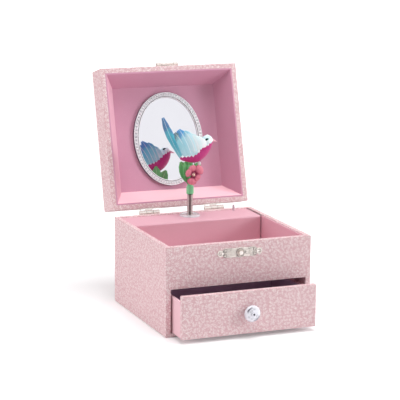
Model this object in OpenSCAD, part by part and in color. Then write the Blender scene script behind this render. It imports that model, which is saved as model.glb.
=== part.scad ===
// Musical jewellery box of paper-covered board: hinged lid with a mirror, one drawer,
// and a bird on a flower that turns on a spring stem above a wind-up movement.
// Origin: middle of the underside. The front faces -Y, +X is to the right, +Z is up.
// The pieces stand as in use: lid open, drawer part way out, hasp folded back on the lid.

/* [Case] */
// Width of the case
box_w = 120; // [100:1:145]
// Depth of the case
box_d = 116; // [104:1:140]
// Height of the case without the lid
box_h = 70; // [68:1:90]
// Thickness of the outer boards
wall_t = 4; // [3:0.5:5]
// Thickness of the base board
base_t = 3; // [2:0.5:4]
// Thickness of the boards between drawer and compartment
board_t = 3; // [2:0.5:4]
// Thickness of the lining card
lining_t = 1.2; // [0.8:0.1:1.6]
// Clear height of the drawer bay
bay_h = 34.2; // [28:0.2:36]
// Depth of the movement housing, front to back
housing_d = 29.5; // [28:0.5:34]
// Thickness of the card of the movement cover
card_t = 1.8; // [1.2:0.1:2.4]
// Drop of the shelf below the case rim
shelf_drop = 0.8; // [0:0.1:3]
// Radius of the front edge of the shelf
shelf_edge_r = 1.5; // [0.5:0.1:1.7]

/* [Lid] */
// Height of the lid
lid_h = 21; // [18:0.5:26]
// Thickness of the lid top board
lid_top_t = 2.4; // [1.6:0.2:4]
// Depth of the lid tray below the rim
tray_depth = 17.4; // [14:0.1:17.4]
// How far the tray walls lean in
tray_lean = 9.8; // [4:0.2:12]
// Gap between the case rim and the closed lid
lid_gap = 0.5; // [0.3:0.1:1]
// Angle of the open lid from closed
lid_open = 105; // [95:1:110]
// Width of the oval mirror frame
mirror_w = 61; // [50:1:70]
// Height of the oval mirror frame
mirror_h = 78; // [60:1:84]
// Width of the band of the mirror frame
mirror_band = 4.5; // [3:0.1:6]
// Thickness of the mirror frame
mirror_frame_t = 3; // [2:0.1:3.4]

/* [Hinges] */
// Distance of the hinge axis from the back face
hinge_out = 3.8; // [3:0.1:5]
// Outer radius of the hinge knuckles
knuckle_r = 2; // [1.6:0.1:2.4]
// Radius of the hinge pins
hinge_pin_r = 0.8; // [0.6:0.05:1]
// Width of a hinge
hinge_w = 17; // [14:0.5:20]
// Distance of each hinge from the middle
hinge_x = 28.5; // [20:0.5:38]
// Height of a hinge leaf on its board
leaf_h = 9.2; // [8:0.1:11]
// Thickness of the hinge leaves
leaf_t = 0.7; // [0.5:0.1:1]

/* [Drawer] */
// Length of the drawer body behind its front
drawer_len = 74; // [60:1:74]
// Clearance of the drawer front at each side
drawer_gap = 0.8; // [0.5:0.1:1.5]
// How far the drawer stands out
drawer_out = 21; // [0:1:40]
// Height of the drawer walls
drawer_wall_h = 28; // [18:1:32]
// Thickness of the drawer walls and floor
drawer_wall_t = 2; // [1.5:0.1:3]
// Radius of the drawer knob
knob_r = 6.6; // [5:0.1:9]
// Height of the knob centre above the base board
knob_z = 16.8; // [12:0.2:22]

/* [Catch] */
// Width of the catch plate
catch_w = 37; // [28:1:44]
// Height of the catch plate
catch_h = 8; // [6:0.5:10]
// Distance of the catch stud below the case rim
catch_drop = 8.3; // [7:0.1:10]
// Radius of the catch stud
stud_r = 1.6; // [1.2:0.1:2]
// Distance of the hasp axis from the front face
hasp_out = 1.9; // [1.8:0.1:2.4]
// Distance of the hasp axis above the lid rim
hasp_rise = 4; // [3:0.1:6]
// Width of the hasp plate
hasp_w = 19; // [14:0.5:24]

/* [Figurine] */
// Distance of the stem from the inner face of the back wall
stem_back = 10; // [10:0.5:12]
// Radius of the spring stem
stem_r = 2.35; // [2:0.05:2.6]
// Length of each bending length of the stem
stem_step = 4.5; // [4:0.1:5]
// Radius of the socket that holds the flower
socket_r = 3; // [3:0.05:4]

/* [Movement] */
// Distance of the barrel axis below the case rim
barrel_drop = 22; // [22:0.5:24]
// Radius of the spring barrel
barrel_r = 10.4; // [10.4:0.1:11]
// Radius of the winding arbor
arbor_r = 2; // [1.6:0.1:2.2]
// Radius of the tune cylinder
cyl_r = 6.5; // [5.5:0.1:6.6]
// Length of the tune cylinder
cyl_len = 18; // [14:1:18]
// Module of the small gears
gear_m = 0.4; // [0.4:0.05:0.4]
// Running clearance of shafts and pins in their bores
run_fit = 0.05; // [0.02:0.01:0.09]

/* [Hidden] */
$fn = 48;

// Planes of the case
front_y = -box_d / 2;
back_y = box_d / 2;
in_x = box_w / 2 - wall_t;
in_front_y = front_y + wall_t;
in_back_y = back_y - wall_t;
housing_y = in_back_y - housing_d;
bay_top = base_t + bay_h;
floor_z = bay_top + board_t;
shelf_z = box_h - shelf_drop;
edge = 0.01;
key_hole_r = 4;

// Planes of the lid, as if closed
lid_z0 = box_h + lid_gap;
lid_z1 = lid_z0 + lid_h;
tray_z = lid_z0 + tray_depth;
hinge_y = back_y + hinge_out;
hinge_z = box_h + lid_gap / 2;
nail_r = 0.45;
nail_head_r = 0.95;
nail_head_t = 0.4;
nail_len = 2.6;
nail_dx = 5;
nail_dz = 7.2;
mirror_y = 1;
mirror_glass_t = 1.4;

// Catch and hasp
catch_z = box_h - catch_drop;
plate_t = 0.7;
hasp_y = front_y - hasp_out;
hasp_z = lid_z0 + hasp_rise;
hasp_pin_r = 0.55;
hasp_knuckle_r = 1.4;
tongue_t = 0.8;
tongue_hole = 0.5;
tongue_len = hasp_z - catch_z;
stud_shank_r = 0.9;
stud_len = 2.9;
catch_nail_x = catch_w / 2 - 4;
hasp_nail_x = hasp_w / 2 - 1.8;
hasp_nail_z = 6;

// Drawer
slide_gap = 0.4;
drawer_front_h = bay_h - 2 * slide_gap - 0.2;
drawer_body_x = in_x - drawer_gap - 0.7;
drawer_lining_t = 0.8;
knob_len = 7;
knob_screw_r = 1.2;
screw_head_r = 2.4;

// Movement
barrel_z = box_h - barrel_drop;
stem_y = in_back_y - stem_back;
plate_y = in_back_y - 1.4;
pinion_n = 12;
crown_n = 48;
wheel_n = 36;
worm_wheel_n = 16;
pinion_pr = gear_m * pinion_n / 2;
crown_r = gear_m * crown_n / 2;
wheel_pr = gear_m * wheel_n / 2;
worm_wheel_pr = gear_m * worm_wheel_n / 2;
face_w = 1.2;
crown_tip_y = stem_y - 2;
crown_base_y = crown_tip_y - 0.9;
bridge_t = 1.6;
bridge_y = housing_y + board_t + 0.2;
drum_y0 = bridge_y + bridge_t + 0.5;
cyl_x0 = 13;
cyl_x1 = cyl_x0 + cyl_len;
post_x0 = crown_r + face_w / 2 + 0.6;
wheel_x0 = cyl_x1 + 0.6;
plate1_x0 = wheel_x0 + face_w + 0.6;
plate1_x1 = plate1_x0 + 1.6;
worm_x = plate1_x1 + 1.6;
plate2_x0 = worm_x + 1.8;
plate2_x1 = plate2_x0 + 1.6;
idler_z = barrel_z - wheel_pr - pinion_pr;
worm_pr = 1.2;
worm_y = stem_y - worm_wheel_pr - worm_pr;
worm_lead = PI * gear_m;
shaft_r = 1;
idler_r = 0.8;
worm_shaft_r = 0.6;
fan_r = 4.4;
fan_z0 = barrel_z - 21.5;
comb_tip_z = barrel_z - cyl_r - 0.6 - 0.3;
comb_z0 = barrel_z - 28;
comb_base_h = 6;
spindle_r = 1.2;
rod_x = plate2_x1 + 1.6;
rod_y = in_back_y - 3;
rod_r = 0.9;
rod_top = box_h + 3.9;
bed_screws = [[-20, -24], [-20, 8], [38, 8], [38, -27.5]];
bed_screw_r = 0.9;
bed_head_r = 1.7;
comb_screw_x = [cyl_x0 + 4, cyl_x1 - 4];
comb_t = 1.2;
comb_y0 = stem_y - comb_t / 2;
fan_z1 = fan_z0 + 5.5;
bearing_z0 = fan_z0 - 2.2;
key_y = back_y + 2;
worm_core = worm_pr - 0.35;
worm_tip = worm_pr + 0.3;
worm_half = 2;
bush_r = 3;
collar_z = shelf_z - card_t - 2.2;

// Stem and figurine
disc_t = 1;
disc_r = 8.5;
stem_z0 = shelf_z + disc_t;
pivot_z = shelf_z + 4.3;
stem_gap = 0.15;
figure_z = pivot_z + 3 * stem_step + 0.6;
flower_place = [2.7, -3.6, 15.4];
vane_t = 1.2;

// ---------- shared shapes ----------

// Moves what is drawn as if the lid were closed to its open place
module in_lid() {
    translate([0, hinge_y, hinge_z]) rotate([-lid_open, 0, 0])
        translate([0, -hinge_y, -hinge_z]) children();
}

// Round bar along x, y or z from a start point
module bar_x(x, y, z, r, l) { translate([x, y, z]) rotate([0, 90, 0]) cylinder(r = r, h = l); }
module bar_y(x, y, z, r, l) { translate([x, y, z]) rotate([-90, 0, 0]) cylinder(r = r, h = l); }
module bar_z(x, y, z, r, l) { translate([x, y, z]) cylinder(r = r, h = l); }

// Box between two corners
module block(a, b) { translate(a) cube(b - a); }

function polar(r, a) = [r * cos(a), r * sin(a)];
function arc_deg(w, r) = w / r * 180 / PI;

// Outline of a small gear with straight-sided teeth, one tooth centred on phase
function gear_points(n, pr, phase) =
    let (root = pr - 0.55, tip = pr + 0.3)
    [for (i = [0 : n - 1], c = [[root, -0.36], [tip, -0.11], [tip, 0.11], [root, 0.36]])
        polar(c[0], i * 360 / n + phase + arc_deg(c[1], c[0]))];

module gear(n, pr, phase, bore) {
    linear_extrude(face_w) difference() {
        polygon(gear_points(n, pr, phase));
        circle(r = bore);
    }
}

// Stands a flat outline across the x axis: outline x to y, outline y to z
module across_x(x, y, z) { translate([x, y, z]) rotate([90, 0, 90]) children(); }

// Oval outline of a given width and height
module oval(w, h) { polygon([for (i = [0 : 71]) [w / 2 * cos(5 * i), h / 2 * sin(5 * i)]]); }

// Pin with a flat round head, pointing along +y from its head
module headed_pin(head_r, head_t, r, l) {
    rotate([90, 0, 0]) cylinder(r = head_r, h = head_t);
    rotate([-90, 0, 0]) cylinder(r = r, h = l);
}

// ---------- case ----------

module base_board() {
    color("pink") block([-box_w / 2, front_y, 0], [box_w / 2, back_y, base_t]);
}

module left_wall() {
    color("pink") block([-box_w / 2, front_y, base_t], [-in_x, back_y, box_h]);
}

module right_wall() {
    color("pink") block([in_x, front_y, base_t], [box_w / 2, back_y, box_h]);
}

// Where the winding arbor passes the back wall

module back_wall() {
    color("pink") difference() {
        block([-in_x, in_back_y, base_t], [in_x, back_y, box_h]);
        bar_y(0, in_back_y - edge, barrel_z, key_hole_r, wall_t + 2 * edge);
        for (s = bed_screws) bar_y(s[0], in_back_y - edge, barrel_z + s[1], bed_screw_r, 3);
        for (x = [-hinge_x, hinge_x], d = [-nail_dx, nail_dx])
            bar_y(x + d, back_y - nail_len, hinge_z - nail_dz, nail_r, nail_len + edge);
    }
}

module front_panel() {
    color("pink") difference() {
        block([-in_x, front_y, bay_top], [in_x, in_front_y, box_h]);
        bar_y(0, front_y - edge, catch_z, stud_shank_r, wall_t + 2 * edge);
        for (x = [-catch_nail_x, catch_nail_x])
            bar_y(x, front_y - edge, catch_z, nail_r, nail_len + edge);
    }
}

module bay_ceiling() {
    color("thistle") block([-in_x, in_front_y, bay_top], [in_x, housing_y, floor_z]);
}

module partition() {
    color("thistle") block([-in_x, housing_y, base_t], [in_x, housing_y + board_t, floor_z]);
}

// Tray of card that lines the floor and three sides of the compartment
module compartment_lining() {
    top = shelf_z;
    color("palevioletred") difference() {
        block([-in_x, in_front_y, floor_z], [in_x, housing_y, top]);
        block([-in_x + lining_t, in_front_y + lining_t, floor_z + lining_t],
            [in_x - lining_t, housing_y + edge, top + edge]);
    }
}

// Bent card over the movement: an upright front and a shelf with a rounded edge
module movement_cover() {
    half_w = in_x - 0.3;
    color("lightpink") difference() {
        across_x(-half_w, 0, 0) linear_extrude(2 * half_w) difference() {
            union() {
                translate([housing_y, floor_z]) square([housing_d, shelf_z - shelf_edge_r - floor_z]);
                translate([housing_y + shelf_edge_r, floor_z])
                    square([housing_d - shelf_edge_r, shelf_z - floor_z]);
                translate([housing_y + shelf_edge_r, shelf_z - shelf_edge_r]) circle(r = shelf_edge_r);
            }
            translate([housing_y + card_t, floor_z - edge])
                square([housing_d, shelf_z - card_t - floor_z + edge]);
        }
        bar_z(0, stem_y, shelf_z - card_t - edge, bush_r, card_t + 2 * edge);
        bar_z(rod_x, rod_y, shelf_z - card_t - edge, rod_r + run_fit, card_t + 2 * edge);
    }
}

// ---------- catch on the front ----------

// Plate outline with scrolled ends and a wider middle
module catch_outline() {
    difference() {
        union() {
            square([catch_w - catch_h, catch_h * 0.55], center = true);
            circle(r = catch_h / 2);
            for (s = [-1, 1]) {
                translate([s * (catch_w / 2 - catch_h * 0.32), 0]) circle(r = catch_h * 0.32);
                translate([s * catch_w * 0.28, catch_h * 0.16]) circle(r = catch_h * 0.3);
                translate([s * catch_w * 0.28, -catch_h * 0.16]) circle(r = catch_h * 0.3);
            }
        }
        for (s = [-1, 1], t = [-1, 1])
            translate([s * catch_w * 0.165, t * catch_h * 0.1]) circle(r = catch_h * 0.075);
        for (s = [-1, 1]) translate([s * catch_nail_x, 0]) circle(r = nail_r);
        circle(r = stud_shank_r);
    }
}

module catch_plate() {
    color("antiquewhite") translate([0, front_y, catch_z]) rotate([90, 0, 0])
        linear_extrude(plate_t) catch_outline();
}

// Stud that the hasp drops over, with its shank through the panel, and two plate nails
module catch_stud() {
    color("silver") {
        bar_y(0, front_y, catch_z, stud_shank_r, wall_t);
        bar_y(0, front_y - plate_t - stud_len + 0.4, catch_z, stud_r, stud_len - 0.4);
        bar_y(0, front_y - plate_t, catch_z, stud_shank_r, plate_t);
        for (x = [-catch_nail_x, catch_nail_x])
            translate([x, front_y - plate_t, catch_z])
                headed_pin(nail_head_r, nail_head_t, nail_r, nail_len + plate_t);
    }
}

// ---------- hinges ----------

// Leaf above its axis; outer is true for the leaf with the two outside knuckles
module hinge_leaf(outer, bore) {
    third = (hinge_w - 0.6) / 3;
    runs = outer ? [-hinge_w / 2, hinge_w / 2 - third] : [-third / 2];
    difference() {
        union() {
            block([-hinge_w / 2, -hinge_out, knuckle_r - leaf_t],
                [hinge_w / 2, -hinge_out + leaf_t, knuckle_r - leaf_t + leaf_h]);
            for (x = runs) {
                block([x, -hinge_out, knuckle_r - leaf_t], [x + third, 0, knuckle_r]);
                bar_x(x, 0, 0, knuckle_r, third);
            }
        }
        bar_x(-hinge_w, 0, 0, bore, 2 * hinge_w);
        for (d = [-nail_dx, nail_dx]) bar_y(d, -hinge_out - edge, nail_dz, nail_r, leaf_t + 2 * edge);
    }
}

module case_hinge_leaves() {
    color("silver") for (x = [-hinge_x, hinge_x])
        translate([x, hinge_y, hinge_z]) mirror([0, 0, 1]) hinge_leaf(true, hinge_pin_r);
}

module lid_hinge_leaves() {
    color("silver") in_lid() for (x = [-hinge_x, hinge_x])
        translate([x, hinge_y, hinge_z]) hinge_leaf(false, hinge_pin_r + run_fit);
}

module hinge_pins() {
    color("gray") for (x = [-hinge_x, hinge_x])
        bar_x(x - hinge_w / 2 - 0.3, hinge_y, hinge_z, hinge_pin_r, hinge_w + 0.6);
}

// Nails of both hinges on one board; up is 1 on the lid and -1 on the case
module leaf_nails(up) {
    for (x = [-hinge_x, hinge_x], d = [-nail_dx, nail_dx])
        translate([x + d, back_y + leaf_t, hinge_z + up * nail_dz]) mirror([0, 1, 0])
            headed_pin(nail_head_r, nail_head_t, nail_r, nail_len + leaf_t);
}

module hinge_nails() { color("silver") leaf_nails(-1); }

module lid_hinge_nails() { color("silver") in_lid() leaf_nails(1); }

// ---------- lid ----------

module lid_top_board() {
    color("pink") in_lid()
        block([-box_w / 2, front_y, lid_z1 - lid_top_t], [box_w / 2, back_y, lid_z1]);
}

module lid_walls() {
    color("pink") in_lid() difference() {
        block([-box_w / 2, front_y, lid_z0], [box_w / 2, back_y, lid_z1 - lid_top_t]);
        block([-in_x, in_front_y, lid_z0 - edge], [in_x, in_back_y, lid_z1]);
        for (x = [-hinge_x, hinge_x], d = [-nail_dx, nail_dx])
            bar_y(x + d, back_y - nail_len, hinge_z + nail_dz, nail_r, nail_len + edge);
        for (x = [-hasp_nail_x, hasp_nail_x])
            bar_y(x, front_y - edge, hasp_z + hasp_nail_z, nail_r, nail_len + edge);
    }
}

// Block with a wide foot at z0 and a smaller top at z1
module taper(x0, y0, z0, x1, y1, z1) {
    hull() {
        translate([0, 0, z0]) linear_extrude(edge) square([2 * x0, 2 * y0], center = true);
        translate([0, 0, z1 - edge]) linear_extrude(edge) square([2 * x1, 2 * y1], center = true);
    }
}

// Tray of card with sloping walls that lines the lid
module lid_tray() {
    rim_x = in_x - lining_t;
    rim_y = in_back_y - lining_t;
    color("palevioletred") in_lid() difference() {
        taper(in_x, in_back_y, lid_z0, rim_x - tray_lean + lining_t, rim_y - tray_lean + lining_t,
            tray_z + lining_t);
        taper(rim_x, rim_y, lid_z0 - edge, rim_x - tray_lean, rim_y - tray_lean, tray_z);
    }
}

module mirror_frame() {
    color("silver") in_lid() translate([0, mirror_y, tray_z - mirror_frame_t])
        linear_extrude(mirror_frame_t) difference() {
            oval(mirror_w, mirror_h);
            oval(mirror_w - 2 * mirror_band, mirror_h - 2 * mirror_band);
        }
}

module mirror_glass() {
    color("aliceblue") in_lid() translate([0, mirror_y, tray_z - mirror_glass_t])
        linear_extrude(mirror_glass_t) oval(mirror_w - 2 * mirror_band, mirror_h - 2 * mirror_band);
}

// ---------- hasp ----------

// Plate on the lid front with two knuckles in front of it
module hasp_plate() {
    color("antiquewhite") in_lid() difference() {
        union() {
            block([-hasp_w / 2, front_y - plate_t, hasp_z - 1.2], [hasp_w / 2, front_y, hasp_z + 8]);
            for (x = [-hasp_w / 2, hasp_w / 2 - 4]) bar_x(x, hasp_y, hasp_z, hasp_knuckle_r, 4);
        }
        bar_x(-hasp_w, hasp_y, hasp_z, hasp_pin_r, 2 * hasp_w);
        for (x = [-hasp_nail_x, hasp_nail_x])
            bar_y(x, front_y - 2, hasp_z + hasp_nail_z, nail_r, 3);
    }
}

// Hinge pin of the hasp, and the two nails that hold its plate
module hasp_pin() {
    color("silver") in_lid() {
        bar_x(-hasp_w / 2 - 0.3, hasp_y, hasp_z, hasp_pin_r, hasp_w + 0.6);
        for (x = [-hasp_nail_x, hasp_nail_x])
            translate([x, front_y - plate_t, hasp_z + hasp_nail_z])
                headed_pin(nail_head_r, nail_head_t, nail_r, nail_len + plate_t);
    }
}

// Tongue folded up against the plate, with the eye that drops over the stud
module hasp_tongue() {
    half_w = hasp_w / 2 - 4.3;
    eye_r = half_w * 0.8;
    color("antiquewhite") in_lid() difference() {
        union() {
            bar_x(-half_w, hasp_y, hasp_z, hasp_knuckle_r * 0.75, 2 * half_w);
            translate([0, hasp_y + tongue_t / 2, hasp_z]) rotate([90, 0, 0]) linear_extrude(tongue_t) {
                translate([-half_w, 0]) square([2 * half_w, tongue_len * 0.55]);
                translate([-half_w * 0.7, 0]) square([half_w * 1.4, tongue_len]);
                translate([0, tongue_len]) circle(r = eye_r);
            }
        }
        bar_x(-hasp_w, hasp_y, hasp_z, hasp_pin_r + run_fit, 2 * hasp_w);
        bar_y(0, hasp_y - 2, hasp_z + tongue_len, stud_r + tongue_hole, 4);
    }
}

// ---------- drawer ----------

module out_drawer() { translate([0, -drawer_out, 0]) children(); }

module drawer_front() {
    z0 = base_t + slide_gap;
    color("pink") out_drawer() difference() {
        block([-in_x + drawer_gap, front_y, z0], [in_x - drawer_gap, in_front_y, z0 + drawer_front_h]);
        bar_y(0, front_y - edge, base_t + knob_z, knob_screw_r, wall_t + 2 * edge);
    }
}

module drawer_body() {
    z0 = base_t + slide_gap;
    y1 = in_front_y + drawer_len;
    color("mistyrose") out_drawer() difference() {
        block([-drawer_body_x, in_front_y, z0], [drawer_body_x, y1, z0 + drawer_wall_h]);
        block([-drawer_body_x + drawer_wall_t, in_front_y + drawer_wall_t, z0 + drawer_wall_t],
            [drawer_body_x - drawer_wall_t, y1 - drawer_wall_t, z0 + drawer_wall_h + edge]);
        bar_y(0, in_front_y - edge, base_t + knob_z, screw_head_r, drawer_wall_t + 2 * edge);
    }
}

module drawer_lining() {
    z0 = base_t + slide_gap + drawer_wall_t;
    x1 = drawer_body_x - drawer_wall_t;
    y0 = in_front_y + drawer_wall_t;
    y1 = in_front_y + drawer_len - drawer_wall_t;
    top = base_t + slide_gap + drawer_wall_h - 1;
    color("palevioletred") out_drawer() difference() {
        block([-x1, y0, z0], [x1, y1, top]);
        block([-x1 + drawer_lining_t, y0 + drawer_lining_t, z0 + drawer_lining_t],
            [x1 - drawer_lining_t, y1 - drawer_lining_t, top + edge]);
    }
}

// Cut-glass style knob: a neck and a faceted head
module drawer_knob() {
    neck = 2.2;
    knob_flare = 1.8;
    color("white") out_drawer() translate([0, front_y, base_t + knob_z]) rotate([90, 0, 0])
        difference() {
            union() {
                cylinder(r = knob_r * 0.45, h = neck + edge);
                translate([0, 0, neck]) cylinder(r1 = knob_r * 0.75, r2 = knob_r, h = knob_flare);
                translate([0, 0, neck + knob_flare])
                    cylinder(r1 = knob_r, r2 = knob_r * 0.72, h = knob_len - neck - knob_flare);
            }
            translate([0, 0, -edge]) cylinder(r = knob_screw_r, h = knob_len + 2 * edge);
        }
}

// Screw from inside the drawer through its front and the knob, ending in a small cap
module knob_screw() {
    color("silver") out_drawer() {
        bar_y(0, front_y - knob_len, base_t + knob_z, knob_screw_r, knob_len + wall_t);
        bar_y(0, in_front_y, base_t + knob_z, screw_head_r - 0.2, 1.4);
        bar_y(0, front_y - knob_len - 0.7, base_t + knob_z, knob_screw_r * 1.5, 0.7);
    }
}

// ---------- movement ----------

// Upright plate on the back wall, with the posts of the cylinder and the block of the comb
module bedplate() {
    color("goldenrod") difference() {
        union() {
            block([-23, plate_y, barrel_z - 30], [plate2_x1 + 0.4, in_back_y, barrel_z + 11]);
            block([post_x0, stem_y - 2, barrel_z - 2], [post_x0 + face_w + 0.4, plate_y, barrel_z + 2]);
            block([cyl_x0 - 0.5, comb_y0 + comb_t, comb_z0], [cyl_x1 + 0.5, plate_y, comb_z0 + comb_base_h]);
            block([rod_x - 1.2, rod_y - 1.8, barrel_z - 12], [rod_x + 1.8, in_back_y, barrel_z - 9.5]);
        }
        bar_y(0, plate_y - edge, barrel_z, arbor_r + run_fit, 2);
        bar_x(post_x0 - 1, stem_y, barrel_z, shaft_r + run_fit, 4);
        bar_z(rod_x, rod_y, barrel_z - 13, rod_r + run_fit, 5);
        for (s = bed_screws) bar_y(s[0], plate_y - edge, barrel_z + s[1], bed_screw_r, 2);
        for (x = comb_screw_x)
            bar_y(x, comb_y0, comb_z0 + comb_base_h / 2, bed_screw_r, comb_t + 5);
    }
}

module bedplate_screws() {
    color("silver") for (s = bed_screws)
        translate([s[0], plate_y, barrel_z + s[1]]) headed_pin(bed_head_r, 0.8, bed_screw_r, 4.3);
}

// Arm in front of the barrel on two pillars
module barrel_bridge() {
    pillars = [[-13.8, 0], [0, -13.8]];
    color("goldenrod") difference() {
        union() {
            for (p = pillars) {
                bar_y(p[0], bridge_y, barrel_z + p[1], 2.4, bridge_t);
                bar_y(p[0], bridge_y + bridge_t, barrel_z + p[1], 1.6, plate_y - bridge_y - bridge_t);
            }
            bar_y(0, bridge_y, barrel_z, 3.6, bridge_t);
            block([-13.8, bridge_y, barrel_z - 2.4], [0, bridge_y + bridge_t, barrel_z + 2.4]);
            block([-2.4, bridge_y, barrel_z - 13.8], [2.4, bridge_y + bridge_t, barrel_z]);
        }
        bar_y(0, bridge_y - 1, barrel_z, arbor_r - 0.5 + run_fit, bridge_t + 2);
    }
}

// Spring barrel with a ring of crown teeth on its rear face
module spring_barrel() {
    skin = 1;
    color("gold") difference() {
        union() {
            bar_y(0, drum_y0, barrel_z, barrel_r, crown_base_y - drum_y0);
            for (i = [0 : crown_n - 1]) translate([0, crown_base_y - 0.2, barrel_z])
                rotate([0, i * 360 / crown_n, 0]) translate([-0.18, 0, crown_r - face_w / 2])
                    cube([0.36, crown_tip_y - crown_base_y + 0.2, face_w]);
        }
        bar_y(0, drum_y0 + skin, barrel_z, barrel_r - skin, crown_base_y - drum_y0 - 2 * skin);
        bar_y(0, drum_y0 - 1, barrel_z, arbor_r + run_fit, 20);
    }
}

// Wound steel strip inside the barrel
module mainspring() {
    turns = 6;
    r0 = 3.2;
    pitch = (barrel_r - 1.2 - r0) / turns;
    steps = turns * 18;
    strip = pitch * 0.55;
    color("steelblue") bar_turned(drum_y0 + 1.6) linear_extrude(crown_base_y - drum_y0 - 3.2)
        polygon(concat(
            [for (i = [0 : steps]) polar(r0 + pitch * i / 18 - strip / 2, i * 20)],
            [for (i = [steps : -1 : 0]) polar(r0 + pitch * i / 18 + strip / 2, i * 20)]));
}

// Stands a flat outline in the plane of the barrel, extruded towards +y
module bar_turned(y) { translate([0, y, barrel_z]) rotate([-90, 0, 0]) children(); }

// Arbor from the front bridge, through the barrel, plate and wall, to the key
module winding_arbor() {
    color("silver") {
        bar_y(0, bridge_y - 0.2, barrel_z, arbor_r - 0.5, bridge_t + 0.4);
        bar_y(0, bridge_y + bridge_t + 0.2, barrel_z, arbor_r, key_y + 5 - bridge_y - bridge_t);
    }
}

module winding_key() {
    hub_l = 7;
    wing_t = 1.6;
    color("silver") difference() {
        union() {
            bar_y(0, key_y, barrel_z, arbor_r + 1.2, hub_l);
            translate([0, key_y + hub_l + 2.4, barrel_z]) for (s = [-1, 1]) {
                translate([s * 5, 0, -wing_t / 2]) cylinder(r = 4, h = wing_t);
                translate([s * 2.5 - 2.5, -2.4, -wing_t / 2]) cube([5, 4.8, wing_t]);
            }
            block([-2.5, key_y + hub_l - 2, barrel_z - wing_t / 2],
                [2.5, key_y + hub_l + 2, barrel_z + wing_t / 2]);
        }
        bar_y(0, key_y - edge, barrel_z, arbor_r, 5.4);
        translate([0, key_y + hub_l + 2.4, barrel_z - 2]) for (s = [-1, 1])
            translate([s * 5.6, 0, 0]) cylinder(r = 1.6, h = 4);
    }
}

// Cylinder with its pins; the pins follow a simple rule that spreads them round it
module tune_cylinder() {
    rows = cyl_len;
    color("gold") difference() {
        union() {
            bar_x(cyl_x0, stem_y, barrel_z, cyl_r, cyl_len);
            for (i = [0 : rows - 1], k = [0 : 2])
                translate([cyl_x0 + 0.5 + i, stem_y, barrel_z]) rotate([i * 47 + k * 113, 0, 0])
                    cylinder(r = 0.22, h = cyl_r + 0.6, $fn = 6);
        }
        bar_x(cyl_x0 - 1, stem_y, barrel_z, shaft_r, cyl_len + 2);
    }
}

// Shaft of the cylinder with the pinion that the crown drives
module cylinder_shaft() {
    color("silver") {
        bar_x(crown_r - face_w / 2, stem_y, barrel_z, shaft_r, plate1_x1 + 0.4 - crown_r + face_w / 2);
        across_x(crown_r - face_w / 2, stem_y, barrel_z)
            linear_extrude(face_w) polygon(gear_points(pinion_n, pinion_pr, 15));
    }
}

module cylinder_wheel() {
    color("gold") across_x(wheel_x0, stem_y, barrel_z) gear(wheel_n, wheel_pr, 0, shaft_r);
}

module comb() {
    teeth = cyl_len;
    color("lightsteelblue") difference() {
        union() {
            block([cyl_x0 - 0.5, comb_y0, comb_z0], [cyl_x1 + 0.5, comb_y0 + comb_t, comb_z0 + comb_base_h]);
            for (i = [0 : teeth - 1])
                block([cyl_x0 + 0.14 + i, comb_y0 + 0.3, comb_z0 + comb_base_h - 0.5],
                    [cyl_x0 + 0.86 + i, comb_y0 + 0.9, comb_tip_z]);
        }
        for (x = comb_screw_x) bar_y(x, comb_y0 - 1, comb_z0 + comb_base_h / 2, bed_screw_r, comb_t + 2);
    }
}

module comb_screws() {
    color("silver") for (x = comb_screw_x)
        translate([x, comb_y0, comb_z0 + comb_base_h / 2]) headed_pin(bed_head_r, 0.8, bed_screw_r, 5);
}

// Two plates beside the worm wheel, a top bar and a foot that carry the fan shaft
module governor_frame() {
    top_z = idler_z + 6;
    color("goldenrod") difference() {
        union() {
            block([plate1_x0, stem_y - 2.4, idler_z - 5], [plate1_x1, plate_y, barrel_z + 3]);
            block([plate2_x0, stem_y - 2.4, idler_z - 5], [plate2_x1, plate_y, barrel_z + 3]);
            block([plate1_x0, worm_y - 1.5, top_z], [plate2_x1, stem_y - 2, top_z + 1.2]);
            block([worm_x - 1.5, worm_y - 1.5, bearing_z0], [worm_x + 1.5, plate_y, bearing_z0 + 1.2]);
            block([plate1_x0, plate_y - 1.4, bearing_z0], [plate2_x1, plate_y, barrel_z + 3]);
        }
        bar_x(plate1_x0 - 1, stem_y, barrel_z, shaft_r + run_fit, 4);
        bar_x(plate1_x0 - 1, stem_y, idler_z, idler_r + run_fit, 10);
        bar_z(worm_x, worm_y, top_z - 1, worm_shaft_r + run_fit, 4);
        bar_z(worm_x, worm_y, bearing_z0 - 1, worm_shaft_r + run_fit, 4);
    }
}

// Small pinion and worm wheel on one shaft
module governor_idler() {
    color("gold") {
        across_x(wheel_x0, stem_y, idler_z) gear(pinion_n, pinion_pr, 15, idler_r);
        across_x(worm_x - face_w / 2, stem_y, idler_z) gear(worm_wheel_n, worm_wheel_pr, 0, idler_r);
        bar_x(wheel_x0 - 0.3, stem_y, idler_z, idler_r, plate2_x1 - wheel_x0 + 0.6);
    }
}

// Worm outline: a round core with one narrow lobe
function lobe(a) = max(0, min(1, (62 - abs(a)) / 32));

// Fan shaft with a single-start worm and a two-bladed fan
module governor_fan() {
    z0 = idler_z - worm_half;
    turn = 90 - 360 * (worm_half + worm_lead / 2) / worm_lead;
    color("gold") {
        translate([worm_x, worm_y, z0]) rotate(turn)
            linear_extrude(2 * worm_half, twist = -360 * 2 * worm_half / worm_lead, slices = 40)
                polygon([for (i = [0 : 15]) let (a = i * 22.5 > 180 ? i * 22.5 - 360 : i * 22.5)
                    polar(worm_core + (worm_tip - worm_core) * lobe(a), a)]);
        bar_z(worm_x, worm_y, bearing_z0 - 0.3, worm_shaft_r, idler_z + 7.6 - bearing_z0);
        bar_z(worm_x, worm_y, fan_z0, 1.1, fan_z1 - fan_z0);
        block([worm_x - fan_r, worm_y - 0.25, fan_z0], [worm_x + fan_r, worm_y + 0.25, fan_z1]);
    }
}

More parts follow.
